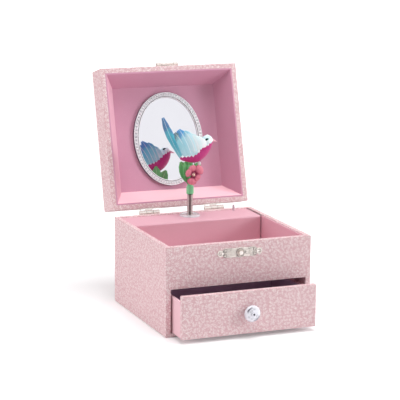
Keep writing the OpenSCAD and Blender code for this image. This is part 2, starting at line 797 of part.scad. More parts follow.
// Arm from the plate with the foot bearing of the spindle
module spindle_bracket() {
    foot_z = barrel_z + crown_r - face_w / 2 - 1;
    color("goldenrod") difference() {
        block([-2.4, crown_tip_y + 0.4, foot_z - 1.6], [2.4, plate_y, foot_z]);
        bar_z(0, stem_y, foot_z - 3, spindle_r - 0.2 + run_fit, 5);
    }
}

// Upright spindle with its pinion and a collar below the bush
module spindle() {
    pinion_z = barrel_z + crown_r - face_w / 2;
    color("silver") {
        bar_z(0, stem_y, pinion_z - 2.8, spindle_r - 0.2, 2.8);
        bar_z(0, stem_y, pinion_z - 0.6, spindle_r, pivot_z - 0.5 - pinion_z + 0.6);
        translate([0, stem_y, pinion_z]) linear_extrude(face_w)
            polygon(gear_points(pinion_n, pinion_pr, 15));
        bar_z(0, stem_y, collar_z - 1.2, 2, 0.9);
    }
}

// Disc on the shelf with a bush for the spindle below it
module escutcheon() {
    color("silver") difference() {
        union() {
            bar_z(0, stem_y, shelf_z, disc_r, disc_t * 0.6);
            translate([0, stem_y, shelf_z + disc_t * 0.6 - edge])
                cylinder(r1 = disc_r, r2 = disc_r - 1.2, h = disc_t * 0.4 + edge);
            bar_z(0, stem_y, collar_z, bush_r, shelf_z - collar_z + edge);
        }
        bar_z(0, stem_y, collar_z - 1, spindle_r + run_fit, 8);
    }
}

// Pin that the closing lid pushes down, with an arm beside the fan
module stop_rod() {
    arm_z = fan_z0 + 3;
    color("silver") {
        bar_z(rod_x, rod_y, arm_z, rod_r, rod_top - arm_z);
        block([rod_x - 0.3, worm_y, arm_z], [rod_x + 0.7, rod_y, arm_z + 1.2]);
    }
}

// ---------- spring stem ----------

// Close-wound coil, taken as a tube
module stem_tube(z0, z1) {
    color("dimgray") difference() {
        bar_z(0, stem_y, z0, stem_r, z1 - z0);
        bar_z(0, stem_y, z0 - 1, spindle_r + 0.3, z1 - z0 + 2);
    }
}

module stem_foot() { stem_tube(stem_z0, pivot_z - stem_gap); }

module stem_low() { stem_tube(pivot_z + stem_gap, pivot_z + stem_step - stem_gap); }

module stem_mid() { stem_tube(pivot_z + stem_step + stem_gap, pivot_z + 2 * stem_step - stem_gap); }

module stem_top() { stem_tube(pivot_z + 2 * stem_step + stem_gap, pivot_z + 3 * stem_step); }

// ---------- figurine ----------

// Places the figurine, whose parts are drawn from the middle of its foot
module on_stem() { translate([0, stem_y, figure_z]) children(); }

// Thin vane through a row of points, each with its own half width
module vane(points, widths, t) {
    for (i = [0 : len(points) - 2]) hull() for (k = [i, i + 1])
        translate(points[k]) rotate([90, 0, 0]) cylinder(r = widths[k], h = t, center = true, $fn = 24);
}

// Smooth body through a row of balls
module through_balls(points, radii) {
    for (i = [0 : len(points) - 2]) hull() for (k = [i, i + 1])
        translate(points[k]) sphere(r = radii[k], $fn = 28);
}

module figurine_socket() {
    color("mediumseagreen") on_stem() {
        cylinder(r = socket_r, h = 5.6);
        translate([0, 0, 5.6]) cylinder(r1 = socket_r, r2 = 1.6, h = 2.4);
        translate([0, 0, 7]) cylinder(r = 1.3, h = 16);
    }
}

module leaves() {
    color("seagreen") on_stem() {
        vane([[-2.6, -1.2, 8], [-7.4, -1, 19], [-8, -1, 27]], [1.2, 2.6, 0.5], 1);
        vane([[-2.2, 2, 8], [-6.6, 3.6, 16], [-11.5, 5.4, 25]], [1.4, 4, 0.6], 1);
        vane([[2.2, 2, 8], [5.6, 4, 16], [11.5, 5.6, 24]], [1.4, 4, 0.6], 1);
        vane([[0, 2, 8], [0.4, 5.2, 18], [-1, 7.6, 28]], [1.4, 3.8, 0.6], 1);
    }
}

module flower() {
    petals = 5;
    petal_r = 3.5;
    color("hotpink") on_stem() translate(flower_place) rotate([90, 0, 12]) {
        for (i = [0 : petals - 1]) rotate(i * 360 / petals + 18) translate([3.9, 0, 0.06 * i])
            cylinder(r = petal_r, h = 1);
        translate([0, 0, -1]) cylinder(r = 2, h = 3);
        translate([0, 0, -2.3]) cylinder(r = 1.2, h = 2);
    }
}

module bird_body() {
    beak_root = [17.6, 0, 42.4];
    beak_len = 5.2;
    color("mediumvioletred") on_stem() {
        through_balls([[-8.5, 0, 29.6], [-3, 0, 30.2], [4, 0, 31.4], [11, 0, 36.2], [14.6, 0, 42.4]],
            [1.2, 4, 6.3, 5.6, 4.7]);
        translate(beak_root) rotate([0, 98, 0]) cylinder(r1 = 2, r2 = 0.25, h = beak_len, $fn = 20);
        translate([0, 0, 22]) cylinder(r = 1, h = 8, $fn = 20);
    }
}

// Four overlapping feathers on the side towards the front
module near_wing() {
    color("lightblue") on_stem() {
        vane([[-3, -5, 31], [-6.5, -6.4, 41], [-12.3, -7.8, 49.3]], [4.4, 3.4, 0.8], vane_t);
        vane([[0, -5.4, 32], [-3.5, -6.8, 43], [-8.1, -8.2, 51.5]], [4.6, 3.6, 0.9], vane_t);
        vane([[3, -5.4, 33.5], [1, -6.8, 42], [-3.6, -8, 49.8]], [4.4, 3.6, 0.8], vane_t);
        vane([[6, -5.2, 35.5], [4.5, -6.4, 40], [1, -7.4, 46.2]], [4, 3.2, 0.8], vane_t);
    }
}

// The same on the far side, held a little higher
module far_wing() {
    color("teal") on_stem() {
        vane([[-3, 5, 31], [-7, 6.4, 42], [-14, 7.8, 52]], [4.4, 3.4, 0.8], vane_t);
        vane([[0, 5.4, 32], [-4, 6.8, 44], [-9, 8.2, 54.5]], [4.6, 3.6, 0.9], vane_t);
        vane([[3, 5.4, 33.5], [1, 6.8, 43], [-3.5, 8, 52]], [4.4, 3.6, 0.8], vane_t);
        vane([[6, 5.2, 35.5], [4.5, 6.4, 41], [1.5, 7.4, 48]], [4, 3.2, 0.8], vane_t);
    }
}

// Two long feathers that stand up behind the wings
module tail_feathers() {
    color("darkcyan") on_stem() {
        vane([[-7.4, 0.5, 28.6], [-13.6, 1, 44], [-21, 1.6, 60]], [1.4, 2.9, 1], vane_t);
        vane([[-7, 1.6, 28.8], [-12, 2.8, 42], [-17.6, 4, 55.5]], [1.4, 2.6, 0.9], vane_t);
    }
}

base_board();
left_wall();
right_wall();
back_wall();
front_panel();
bay_ceiling();
partition();
compartment_lining();
movement_cover();
catch_plate();
catch_stud();
case_hinge_leaves();
hinge_pins();
hinge_nails();
lid_top_board();
lid_walls();
lid_tray();
mirror_frame();
mirror_glass();
lid_hinge_leaves();
lid_hinge_nails();
hasp_plate();
hasp_pin();
hasp_tongue();
drawer_front();
drawer_body();
drawer_lining();
drawer_knob();
knob_screw();
bedplate();
bedplate_screws();
barrel_bridge();
spring_barrel();
mainspring();
winding_arbor();
winding_key();
tune_cylinder();
cylinder_shaft();
cylinder_wheel();
comb();
comb_screws();
governor_frame();
governor_idler();
governor_fan();
spindle_bracket();
spindle();
escutcheon();
stop_rod();
stem_foot();
stem_low();
stem_mid();
stem_top();
figurine_socket();
leaves();
flower();
bird_body();
near_wing();
far_wing();
tail_feathers();
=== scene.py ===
"""Musical jewellery box of pink printed paper over board: open lid with an oval mirror,
one drawer, and a painted bird on a flower that turns on a spring stem."""
import math
import random

import bpy
from mathutils import Matrix, Vector


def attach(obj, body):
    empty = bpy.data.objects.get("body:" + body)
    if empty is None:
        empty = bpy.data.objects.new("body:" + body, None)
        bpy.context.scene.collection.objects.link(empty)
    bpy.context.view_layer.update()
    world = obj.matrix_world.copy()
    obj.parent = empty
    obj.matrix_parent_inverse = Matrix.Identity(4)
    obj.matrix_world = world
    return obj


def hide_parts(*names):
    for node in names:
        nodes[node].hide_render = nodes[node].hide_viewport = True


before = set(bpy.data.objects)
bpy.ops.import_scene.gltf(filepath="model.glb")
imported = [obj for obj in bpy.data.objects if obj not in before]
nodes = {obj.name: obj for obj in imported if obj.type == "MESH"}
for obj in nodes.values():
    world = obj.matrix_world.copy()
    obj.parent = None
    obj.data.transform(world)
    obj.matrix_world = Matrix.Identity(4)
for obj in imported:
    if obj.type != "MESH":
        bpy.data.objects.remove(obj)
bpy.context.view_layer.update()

MM = 0.001

# ------------------------------------------------------------
# The camera stands in front of the box, a little to its left and above it.
# It looks along a yaw and a pitch, from far enough away that the box stays square.
# ------------------------------------------------------------
camera_place = Vector((-0.5007, -1.2005, 0.3593))
camera_yaw = math.radians(22.264)
camera_pitch = math.radians(11.668)
camera_roll = math.radians(0.484)
camera_lens = 151.85

camera = bpy.data.objects.new("camera", bpy.data.cameras.new("camera"))
camera.data.lens = camera_lens
camera.data.sensor_width = 36
camera.matrix_world = (
    Matrix.Translation(camera_place)
    @ Matrix.Rotation(-camera_yaw, 4, "Z")
    @ Matrix.Rotation(math.pi / 2 - camera_pitch, 4, "X")
    @ Matrix.Rotation(camera_roll, 4, "Z")
)
bpy.context.scene.collection.objects.link(camera)
bpy.context.scene.camera = camera
bpy.context.scene.view_settings.view_transform = "Standard"

# ------------------------------------------------------------
# The studio: a white sweep, a large soft light overhead, a key light from the right
# and a wide fill from the left. Metal and the mirror see the same white as the camera,
# with one dark upright flag beside the camera that gives round metal its dark core.
# ------------------------------------------------------------


def tint(red, green, blue):
    """Linear colour of a paint given as it looks, each channel from 0 to 255."""
    def linear(channel):
        value = channel / 255
        return value / 12.92 if value <= 0.04045 else ((value + 0.055) / 1.055) ** 2.4
    return (linear(red), linear(green), linear(blue), 1.0)


class Value:
    """A shader socket. Operators on it add Math nodes to its finish."""

    def __init__(self, finish, socket):
        self.finish = finish
        self.socket = socket

    def math(self, operation, *others):
        return self.finish.node("Math", {"operation": operation}, [self, *others])

    def __add__(self, other):
        return self.math("ADD", other)

    def __sub__(self, other):
        return self.math("SUBTRACT", other)

    def __rsub__(self, other):
        return self.finish.node("Math", {"operation": "SUBTRACT"}, [other, self])

    def __mul__(self, other):
        return self.math("MULTIPLY", other)

    def __truediv__(self, other):
        return self.math("DIVIDE", other)

    def __gt__(self, other):
        return self.math("GREATER_THAN", other)

    def axis(self, name):
        return self.finish.node("SeparateXYZ", {}, [self], name)


class Finish:
    """A material with one main shader, whose constant values are set by name."""

    def __init__(self, name, shader="BsdfPrincipled", world=None, **constants):
        self.material = world or bpy.data.materials.new(name)
        self.material.use_nodes = True
        self.tree = self.material.node_tree
        self.tree.nodes.clear()
        self.shader = self.tree.nodes.new("ShaderNode" + shader)
        output = self.tree.nodes.new("ShaderNodeOutput" + ("World" if world else "Material"))
        self.tree.links.new(self.shader.outputs[0], output.inputs["Surface"])
        for key, value in constants.items():
            self.shader.inputs[key.replace("_", " ")].default_value = value

    def feed(self, socket, value):
        if isinstance(value, Value):
            self.tree.links.new(value.socket, socket)
        else:
            socket.default_value = value

    def node(self, kind, settings, sockets=(), output=0):
        """Adds a node: its settings first, then its sockets by place or by name."""
        made = self.tree.nodes.new("ShaderNode" + kind)
        for key, value in settings.items():
            setattr(made, key, value)
        pairs = sockets.items() if isinstance(sockets, dict) else enumerate(sockets)
        for key, value in pairs:
            self.feed(made.inputs[key], value)
        return Value(self, made.outputs[output])

    def set(self, socket, value):
        self.feed(self.shader.inputs[socket], value)
        return self

    def place(self, axis=None):
        """Object coordinates in millimetres, whole or one axis of them."""
        spot = self.node("TexCoord", {}, (), "Object")
        spot = self.scaled(spot, 1 / MM)
        return spot if axis is None else spot.axis(axis)

    def colour(self, factor, low, high):
        return self.set("Base Color", self.blend(factor, low, high))

    def scaled(self, vector, factor):
        return self.node("VectorMath", {"operation": "SCALE"}, {0: vector, "Scale": factor})

    def vector(self, operation, *vectors, output=0):
        return self.node("VectorMath", {"operation": operation}, vectors, output)

    def attribute(self, name):
        return self.node("Attribute", {"attribute_name": name}, (), "Fac")

    def noise(self, vector, scale, detail=3.0, output="Fac"):
        sockets = {"Vector": vector, "Scale": scale, "Detail": detail}
        return self.node("TexNoise", {}, sockets, output)

    def blend(self, factor, low, high):
        """A colour between low and high."""
        return self.node("Mix", {"data_type": "RGBA"}, {0: factor, 6: low, 7: high}, 2)

    def step(self, value, start, end):
        """0 below start, 1 above end, smooth between."""
        return self.node("MapRange", {"interpolation_type": "SMOOTHSTEP"}, [value, start, end])

    def relief(self, height, strength, distance):
        """Small bumps on the surface; distance in metres."""
        sockets = {"Strength": strength, "Distance": distance, "Height": height}
        return self.set("Normal", self.node("Bump", {}, sockets))

    def grain(self, scale, strength, distance):
        """Relief of fine noise."""
        return self.relief(self.noise(self.place(), scale, 2.0), strength, distance)

    def drift(self, scale, detail, low, high, rough=None):
        """A colour that drifts between two tones, and where asked the roughness with it."""
        cloud = self.noise(self.place(), scale, detail)
        self.colour(cloud, low, high)
        if rough:
            self.set("Roughness", cloud * rough[0] + rough[1])
        return cloud

    def paint(self, *pieces):
        for piece in pieces:
            piece.data.materials.clear()
            piece.data.materials.append(self.material)
        return self


floor_size = 8
floor_drop = 0.0002
bpy.ops.mesh.primitive_plane_add(size=floor_size, location=(0, 0, -floor_drop))
studio_floor = bpy.context.object
studio_floor.name = "studio_floor"

# The floor glows a little for the camera alone, more so away from the box
white = Finish("floor_white", Base_Color=tint(244, 243, 244), Roughness=0.9,
               Emission_Strength=1.0, Specular_IOR_Level=0.0)
away = white.vector("LENGTH", white.place(), output="Value")
lift = white.step(away, 120.0, 900.0) * 0.34 + 0.2 + white.step(away, 700.0, 2600.0) * 0.6
lift = white.node("LightPath", {}, (), "Is Camera Ray") * lift
white.set("Emission Color", white.node("CombineColor", {}, [lift] * 3))
white.paint(studio_floor)

white_sweep = bpy.data.worlds.new("white_sweep")
bpy.context.scene.world = white_sweep
sweep = Finish("white_sweep", "Background", world=white_sweep)
sweep.set("Color", (1.0, 1.0, 1.0, 1.0))
ambient_level = 0.34
flag_way = (-0.379, -0.925, 0.0)
flag_darkness = 0.85
seen, glossy, through = (
    sweep.node("LightPath", {}, (), f"Is {kind} Ray") for kind in ("Camera", "Glossy", "Transmission")
)
direct = (seen + glossy + through).math("MINIMUM", 1.0)
sky_way = sweep.node("TexCoord", {}, (), "Generated")
flag_side = sweep.vector("DOT_PRODUCT", sky_way, flag_way, output="Value")
sky_flat = sweep.vector("MULTIPLY", sky_way, (1.0, 1.0, 0.0))
sky_flat = sweep.vector("LENGTH", sky_flat, output="Value").math("MAXIMUM", 0.01)
dark_flag = sweep.step(flag_side / sky_flat, 0.9, 0.96) * glossy
sweep.set("Strength", direct * (1.0 - ambient_level) + ambient_level - dark_flag * flag_darkness)


def softbox(name, place, aim, width, height, power, colour=(1.0, 1.0, 1.0)):
    lamp = bpy.data.lights.new(name, "AREA")
    lamp.shape = "RECTANGLE"
    lamp.size = width
    lamp.size_y = height
    lamp.energy = power
    lamp.color = colour
    holder = bpy.data.objects.new(name, lamp)
    holder.location = place
    holder.rotation_euler = (Vector(aim) - Vector(place)).to_track_quat("-Z", "Y").to_euler()
    holder.visible_glossy = False
    bpy.context.scene.collection.objects.link(holder)


box_middle = (0.0, 0.0, 0.08)
softbox("overhead", (0.1, -0.15, 1.6), box_middle, 1.1, 1.1, 19.0)
softbox("key_right", (1.35, -0.75, 0.6), box_middle, 0.45, 0.45, 12.4, (0.90, 1.0, 0.985))
softbox("fill_left", (-1.5, 0.35, 0.4), box_middle, 1.0, 0.8, 9.2, (1.0, 0.98, 0.98))

# ------------------------------------------------------------
# Case boards: grey board wrapped in printed paper and glued into a square box. The paper
# turns over every outer edge in a small even radius and hides the joints at the corners.
# ------------------------------------------------------------


def alone(*pieces):
    """Selects these pieces and nothing else."""
    bpy.ops.object.select_all(action="DESELECT")
    for piece in pieces:
        piece.select_set(True)
    bpy.context.view_layer.objects.active = pieces[-1]


def edit_whole(piece, *steps):
    """Takes the whole mesh of a piece through steps of editing."""
    alone(piece)
    bpy.ops.object.mode_set(mode="EDIT")
    bpy.ops.mesh.select_all(action="SELECT")
    for step in steps:
        step()
    bpy.ops.object.mode_set(mode="OBJECT")


def modify(piece, kind, **settings):
    """Adds a modifier to the piece and applies it."""
    alone(piece)
    modifier = piece.modifiers.new(kind.lower(), kind)
    for key, value in settings.items():
        setattr(modifier, key, value)
    bpy.ops.object.modifier_apply(modifier=modifier.name)


def seat(piece, body, slot, *replaced):
    """Puts a piece on its body, in place of the CAD nodes named. The slot is not used."""
    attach(piece, body)
    if replaced:
        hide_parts(*replaced)


def merged_copy(node, name):
    """A new piece with a CAD node's shape, its triangles joined into flat faces."""
    piece = bpy.data.objects.new(name, nodes[node].data.copy())
    bpy.context.scene.collection.objects.link(piece)
    piece.data.materials.clear()
    alone(piece)
    if piece.data.has_custom_normals:
        bpy.ops.mesh.customdata_custom_splitnormals_clear()
    edit_whole(
        piece,
        lambda: bpy.ops.mesh.remove_doubles(threshold=1e-6),
        lambda: bpy.ops.mesh.dissolve_limited(angle_limit=math.radians(0.5)),
    )
    return piece


def pick_edges(piece, wanted):
    """Selects the edges for which wanted(first corner, second corner) is true."""
    mesh = piece.data
    for group in (mesh.vertices, mesh.edges, mesh.polygons):
        group.foreach_set("select", [False] * len(group))
    for edge in mesh.edges:
        if wanted(*(mesh.vertices[corner].co for corner in edge.vertices)):
            edge.select = True
            for corner in edge.vertices:
                mesh.vertices[corner].select = True
    bpy.context.tool_settings.mesh_select_mode = (False, True, False)
    bpy.ops.object.mode_set(mode="EDIT")


def smooth_round(piece):
    """Smooth shading on the rounded edges only: the broad faces stay flat."""
    alone(piece)
    bpy.ops.object.shade_smooth_by_angle(angle=math.radians(35))
    modify(piece, "WEIGHTED_NORMAL", keep_sharp=True)


def lay_print(piece, shut=Matrix()):
    """UV map in millimetres: each face takes the two directions that it lies along."""
    mesh = piece.data
    apart = 310
    print_map = mesh.uv_layers.new(name="print")
    for face in mesh.polygons:
        normal = shut.to_3x3() @ face.normal
        facing = max(range(3), key=lambda axis: abs(normal[axis]))
        across, up = ((1, 2), (0, 2), (0, 1))[facing]
        for loop in face.loop_indices:
            point = shut @ mesh.vertices[mesh.loops[loop].vertex_index].co
            print_map.data[loop].uv = (point[across] / MM + apart * facing, point[up] / MM)


def wrap_board(node, body, low, high, shut=Matrix(), rims=()):
    """Rounds a board's outer edges, and its top rim where the paper turns inwards."""
    piece = merged_copy(node, "papered_" + node)

    def outer(point):
        return {(axis, side) for axis in range(3) for side in (0, 1)
                if abs(point[axis] - (low, high)[side][axis]) < touching}

    def rim(point):
        return {place for place in rims if abs(point[place[0]] - place[1]) < touching}

    def turns(first, second):
        first, second = shut @ first, shut @ second
        shared = outer(first) & outer(second)
        return len(shared) >= 2 or bool((2, 1) in shared and rim(first) & rim(second))

    pick_edges(piece, turns)
    bpy.ops.mesh.bevel(offset=paper_turn, segments=3, affect="EDGES", clamp_overlap=True)
    bpy.ops.object.mode_set(mode="OBJECT")
    smooth_round(piece)
    lay_print(piece, shut)
    seat(piece, body, "patterned_paper", node)
    return piece


paper_turn = 0.6 * MM
touching = 1e-5
case_low = Vector((-60, -58, 0)) * MM
case_high = Vector((60, 58, 70)) * MM
case_rims = ((0, -0.056), (0, 0.056), (1, -0.054), (1, 0.054))
case_boards = [
    wrap_board(node, "case", case_low, case_high, rims=case_rims)
    for node in ("base_board", "left_wall", "right_wall", "back_wall", "front_panel")
]

# Small cream curls, each in a cell of its own, with dots and thin stems between them
paper_ground = tint(215, 172, 178)
paper_print = tint(244, 230, 229)
paper_gloss = 0.35
curl_size = 2.6
dot_size = 1.45

printing = Finish("printed_paper", Roughness=0.6, Specular_IOR_Level=paper_gloss)
print_at = printing.node("UVMap", {"uv_map": "print"})
wobble = printing.scaled(printing.noise(print_at, 0.7, 2.0, "Color"), 0.8)
print_at = printing.vector("ADD", print_at, wobble)


def print_cells(size):
    """Cells that hold one curl or dot each: a spot in them, and what they say of it."""
    spot = printing.scaled(print_at, 1 / size)
    sockets = {"Vector": spot, "Scale": 1.0, "Randomness": 0.75}
    return spot, lambda output: printing.node(
        "TexVoronoi", {"voronoi_dimensions": "2D"}, sockets, output)


curl_spot, curl_cells = print_cells(curl_size)
curl_from = printing.vector("SUBTRACT", curl_spot, curl_cells("Position"))
curl_radius = printing.vector("LENGTH", curl_from, output="Value")
curl_chance = printing.node("SeparateColor", {}, [curl_cells("Color")], 0)
curl_turn = curl_from.axis("Y").math("ARCTAN2", curl_from.axis("X")) / (2 * math.pi) + curl_chance
curl_line = curl_radius - (curl_turn.math("FRACT") * 0.3 + 0.13)
curls = 1.0 - printing.step(curl_line.math("ABSOLUTE"), 0.05, 0.085)

_, dot_cells = print_cells(dot_size)
dot_chance = printing.node("SeparateColor", {}, [dot_cells("Color")], 0)
dots = (1.0 - printing.step(dot_cells("Distance"), 0.16, 0.24)) * (dot_chance > 0.45)
stems = printing.noise(print_at, 0.42, 1.0)
stems = 1.0 - printing.step((stems - 0.5).math("ABSOLUTE"), 0.006, 0.014)
printed = curls.math("MAXIMUM", dots).math("MAXIMUM", stems)

soft_patch = printing.noise(printing.place(), 0.05, 2.0)
ground = printing.blend(soft_patch, paper_ground, tint(221, 180, 185))
printing.colour(printed * 0.85, ground, paper_print)
fibre = printing.noise(print_at, 9.0, 2.0)
printing.relief(fibre + printed * 0.3, 0.12, 0.00006)
printing.paint(*case_boards)

# ------------------------------------------------------------
# Inside the case: a card tray lines the compartment, and a bent card covers the movement
# with a rounded front edge. Both, and the hidden boards, wear smooth plain pink paper.
# ------------------------------------------------------------


def soften(node, body, slot, width, segments=2, least=30, shape=None):
    """A copy of a CAD node with every edge sharper than least degrees rounded a little."""
    piece = merged_copy(node, "finished_" + node)
    if shape:
        shape(piece)
    modify(piece, "BEVEL", width=width, segments=segments,
           limit_method="ANGLE", angle_limit=math.radians(least))
    smooth_round(piece)
    seat(piece, body, slot, node)
    return piece


def plain_paper(name, low, high):
    """Smooth wrapping paper over card: faint clouds, fine fibre and a soft eggshell gloss."""
    paper = Finish(name, Roughness=0.58, Specular_IOR_Level=paper_gloss)
    clouds = paper.noise(paper.place(), 0.03, 3.0)
    specks = paper.step(paper.noise(paper.place(), 1.6, 2.0), 0.62, 0.72)
    mixed = paper.blend(clouds, low, high)
    paper.colour(specks * 0.14, mixed, tint(252, 232, 236))
    paper.set("Roughness", clouds * 0.14 + 0.5)
    grain = paper.noise(paper.place(), 7.0, 2.0) + paper.noise(paper.place(), 0.22, 2.0) * 0.6
    return paper.relief(grain, 0.14, 0.00008)


tray_lining = soften("compartment_lining", "case", "plain_paper", 0.35 * MM)


def leave_slit(cover):
    """Leaves a narrow slit between the right end of the card and the wall."""
    slit = 1.3 * MM
    right = max(corner.co.x for corner in cover.data.vertices)
    for corner in cover.data.vertices:
        if corner.co.x > right - 0.2 * MM:
            corner.co.x -= slit


movement_hood = soften("movement_cover", "case", "plain_paper", 0.25 * MM, shape=leave_slit)
hidden_boards = [
    soften(node, "case", "plain_paper", 0.3 * MM) for node in ("bay_ceiling", "partition")
]
inner_paper = plain_paper("inner_pink_paper", tint(221, 168, 181), tint(228, 180, 192))
inner_paper.paint(tray_lining, movement_hood, *hidden_boards)

# ------------------------------------------------------------
# Lid: a shallow box of the same printed board, open at 105 degrees, lined with a tray of
# pink card whose four sides slope in to a flat panel that holds the mirror.
# ------------------------------------------------------------
lid_pivot = Vector((0, 61.8, 70.25)) * MM
lid_angle = math.radians(-105)
lid_turn = (
    Matrix.Translation(lid_pivot)
    @ Matrix.Rotation(lid_angle, 4, "X")
    @ Matrix.Translation(-lid_pivot)
)
lid_shut = lid_turn.inverted()
lid_low = Vector((-60, -58, 70.5)) * MM
lid_high = Vector((60, 58, 91.5)) * MM
lid_boards = [
    wrap_board(node, "lid", lid_low, lid_high, lid_shut) for node in ("lid_top_board", "lid_walls")
]
printing.paint(*lid_boards)

# Painted light: the tray's lower wall, which faces up, is painted paler than its panel, and the left
# wall a little so
lid_lining = soften("lid_tray", "lid", "plain_paper", 0.4 * MM)
painted_light = lid_lining.data.color_attributes.new("painted_light", "FLOAT_COLOR", "CORNER")
for face in lid_lining.data.polygons:
    share = 1.0 if face.normal.z > 0.8 else 0.5 if face.normal.x > 0.8 else 0.0
    for loop in face.loop_indices:
        painted_light.data[loop].color = (share, share, share, 1)
# Painted shade: the lid's lining is a darker, more purple pink than the case's, for the shade on its
# panel
lid_paper = plain_paper("lid_pink_paper", tint(207, 147, 171), tint(214, 157, 179))
lid_tone = Value(lid_paper, lid_paper.shader.inputs["Base Color"].links[0].from_socket)
lid_paper.colour(lid_paper.attribute("painted_light"), lid_tone, tint(251, 201, 211))
lid_paper.paint(lid_lining)

# ------------------------------------------------------------
# Mirror: an oval of silvered glass in a thin silver moulding with a row of beads round it.
# The moulding is pressed metal foil over board, stuck to the panel of the lid.
# ------------------------------------------------------------
mirror_middle = Vector((0, 1, 87.9)) * MM
mirror_across = 30.5 * MM
mirror_along = 39.0 * MM
bead_count = 82


def oval_point(turn, inset, drop):
    """A point on the mirror's oval, inset from its outside and dropped from the panel."""
    return Vector((
        mirror_middle.x + (mirror_across - inset) * math.cos(turn),
        mirror_middle.y + (mirror_along - inset) * math.sin(turn),
        mirror_middle.z - drop,
    ))


def face_outwards():
    bpy.ops.mesh.normals_make_consistent(inside=False)


def oval_ring(name, profile, steps=144):
    """A closed band round the mirror: its profile is a loop of inset, drop and how lit its foil is
    painted.
    """
    bpy.ops.mesh.primitive_grid_add(x_subdivisions=len(profile), y_subdivisions=steps, size=1)
    ring = bpy.context.object
    ring.name = name
    high = ring.data.attributes.new("high", "FLOAT", "POINT")
    columns = len(profile) + 1
    for number, corner in enumerate(ring.data.vertices):
        row, column = divmod(number, columns)
        inset, drop, lit_share = profile[column % len(profile)]
        corner.co = oval_point(2 * math.pi * row / steps, inset * MM, drop * MM)
        high.data[number].value = lit_share
    edit_whole(ring, lambda: bpy.ops.mesh.remove_doubles(threshold=1e-7), face_outwards)
    bpy.ops.object.shade_smooth_by_angle(angle=math.radians(40))
    return ring


# Painted shade: each point's third number darkens the foil on the outer wall, in the groove and in
# the valley
moulding = oval_ring("mirror_moulding", [
    (0.0, 0.0, 0), (0.0, 2.1, 0), (0.15, 2.25, 1), (0.5, 2.3, 1), (0.75, 2.0, 1),
    (0.95, 1.5, 0.85), (1.75, 1.3, 0.75), (2.5, 1.5, 0.85), (2.65, 2.1, 1), (2.95, 2.6, 1),
    (3.3, 2.6, 1), (3.5, 1.9, 0), (3.75, 1.85, 0), (3.9, 2.4, 1), (4.2, 2.4, 1), (4.5, 2.0, 1),
    (4.5, 0.0, 0.6),
])

# One bead with few faces, copied round the band between the two lips
bpy.ops.mesh.primitive_uv_sphere_add(segments=10, ring_count=6, radius=0.95 * MM)
first_bead = bpy.context.object
for mark in first_bead.data.attributes.new("high", "FLOAT", "POINT").data:
    mark.value = 1.0
beads = []
for number in range(bead_count):
    bead = bpy.data.objects.new("bead", first_bead.data.copy())
    bpy.context.scene.collection.objects.link(bead)
    spot = oval_point(2 * math.pi * (number + 0.5) / bead_count, 1.72 * MM, 1.75 * MM)
    bead.data.transform(Matrix.Translation(spot))
    beads.append(bead)
bpy.data.objects.remove(first_bead)
alone(*beads, moulding)
bpy.ops.object.join()
bpy.ops.object.shade_smooth_by_angle(angle=math.radians(40))

# It was made as if the lid were closed, and goes to its place in the open lid
moulding.data.transform(lid_turn)
moulding.data.update()
seat(moulding, "lid", "silver_frame", "mirror_frame")

silver_foil = Finish("silver_foil", Metallic=0.12, Roughness=0.32)
foil_clouds = silver_foil.noise(silver_foil.place(), 0.5, 3.0)
foil_bright = silver_foil.blend(foil_clouds, tint(246, 245, 249), tint(254, 254, 255))
# Painted shade: where the attribute high is low, the foil is painted dark purple
silver_foil.colour(silver_foil.attribute("high"), tint(78, 62, 86), foil_bright)
silver_foil.set("Roughness", foil_clouds * 0.2 + 0.24)
silver_foil.grain(1.4, 0.1, 0.0001)
silver_foil.paint(moulding)

looking_glass = soften("mirror_glass", "lid", "mirror", 0.12 * MM)
silvering = Finish("silvered_glass", Metallic=1.0, Roughness=0.02)
silvering.drift(0.06, 3.0, tint(234, 233, 240), tint(239, 239, 245), (0.02, 0.01))
silvering.paint(looking_glass)

# ------------------------------------------------------------
# Fittings: pressed plates of pale nickel nailed to the board. Two butt hinges behind, a
# hasp folded up on the lid's front edge, and a stud on a scrolled plate on the case.
# ------------------------------------------------------------
case_fittings = [
    soften(node, "case", "pale_metal", 0.12 * MM, 2, 40)
    for node in ("case_hinge_leaves", "hinge_pins", "hinge_nails", "catch_stud")
]
lid_fittings = [
    soften(node, "lid", "pale_metal", 0.12 * MM, 2, 40)
    for node in ("lid_hinge_leaves", "lid_hinge_nails", "hasp_plate", "hasp_pin")
]
hasp_piece = soften("hasp_tongue", "hasp", "pale_metal", 0.14 * MM, 2, 40)

nickel = Finish("pale_nickel", Metallic=0.85, Roughness=0.3)
polish = nickel.noise(nickel.place(), 0.6, 3.0)
tarnish = nickel.step(nickel.noise(nickel.place(), 0.25, 4.0), 0.55, 0.75)
bright = nickel.blend(polish, tint(238, 226, 220), tint(253, 246, 241))
nickel.colour(tarnish * 0.35, bright, tint(204, 182, 170))
nickel.set("Roughness", tarnish * 0.18 + 0.22)
nickel.grain(2.4, 0.12, 0.00006)
nickel.paint(*case_fittings, *lid_fittings, hasp_piece)

# The catch plate is stamped: a raised rim, a sunk field, scrolls at both ends and a boss
catch_middle = Vector((0, -58.7, 61.7)) * MM
catch_piece = soften("catch_plate", "case", "pale_metal", 0.15 * MM, 2, 40)

# A second leaf of the same metal fills the waists of the plate
plate_across, plate_deep, plate_up = 28.5, 0.6, 7.2
bpy.ops.mesh.primitive_cube_add(size=1)
leaf_plate = bpy.context.object
for corner in leaf_plate.data.vertices:
    x, y, z = corner.co
    corner.co = catch_middle + Vector((plate_across * x, plate_deep * (y + 0.5), plate_up * z)) * MM
pick_edges(leaf_plate, lambda first, second: abs(first.y - second.y) > 0.0001)
bpy.ops.mesh.bevel(offset=2.2 * MM, segments=5, affect="EDGES")
bpy.ops.object.mode_set(mode="OBJECT")
modify(leaf_plate, "BEVEL", width=0.12 * MM, segments=2,
       limit_method="ANGLE", angle_limit=math.radians(40))


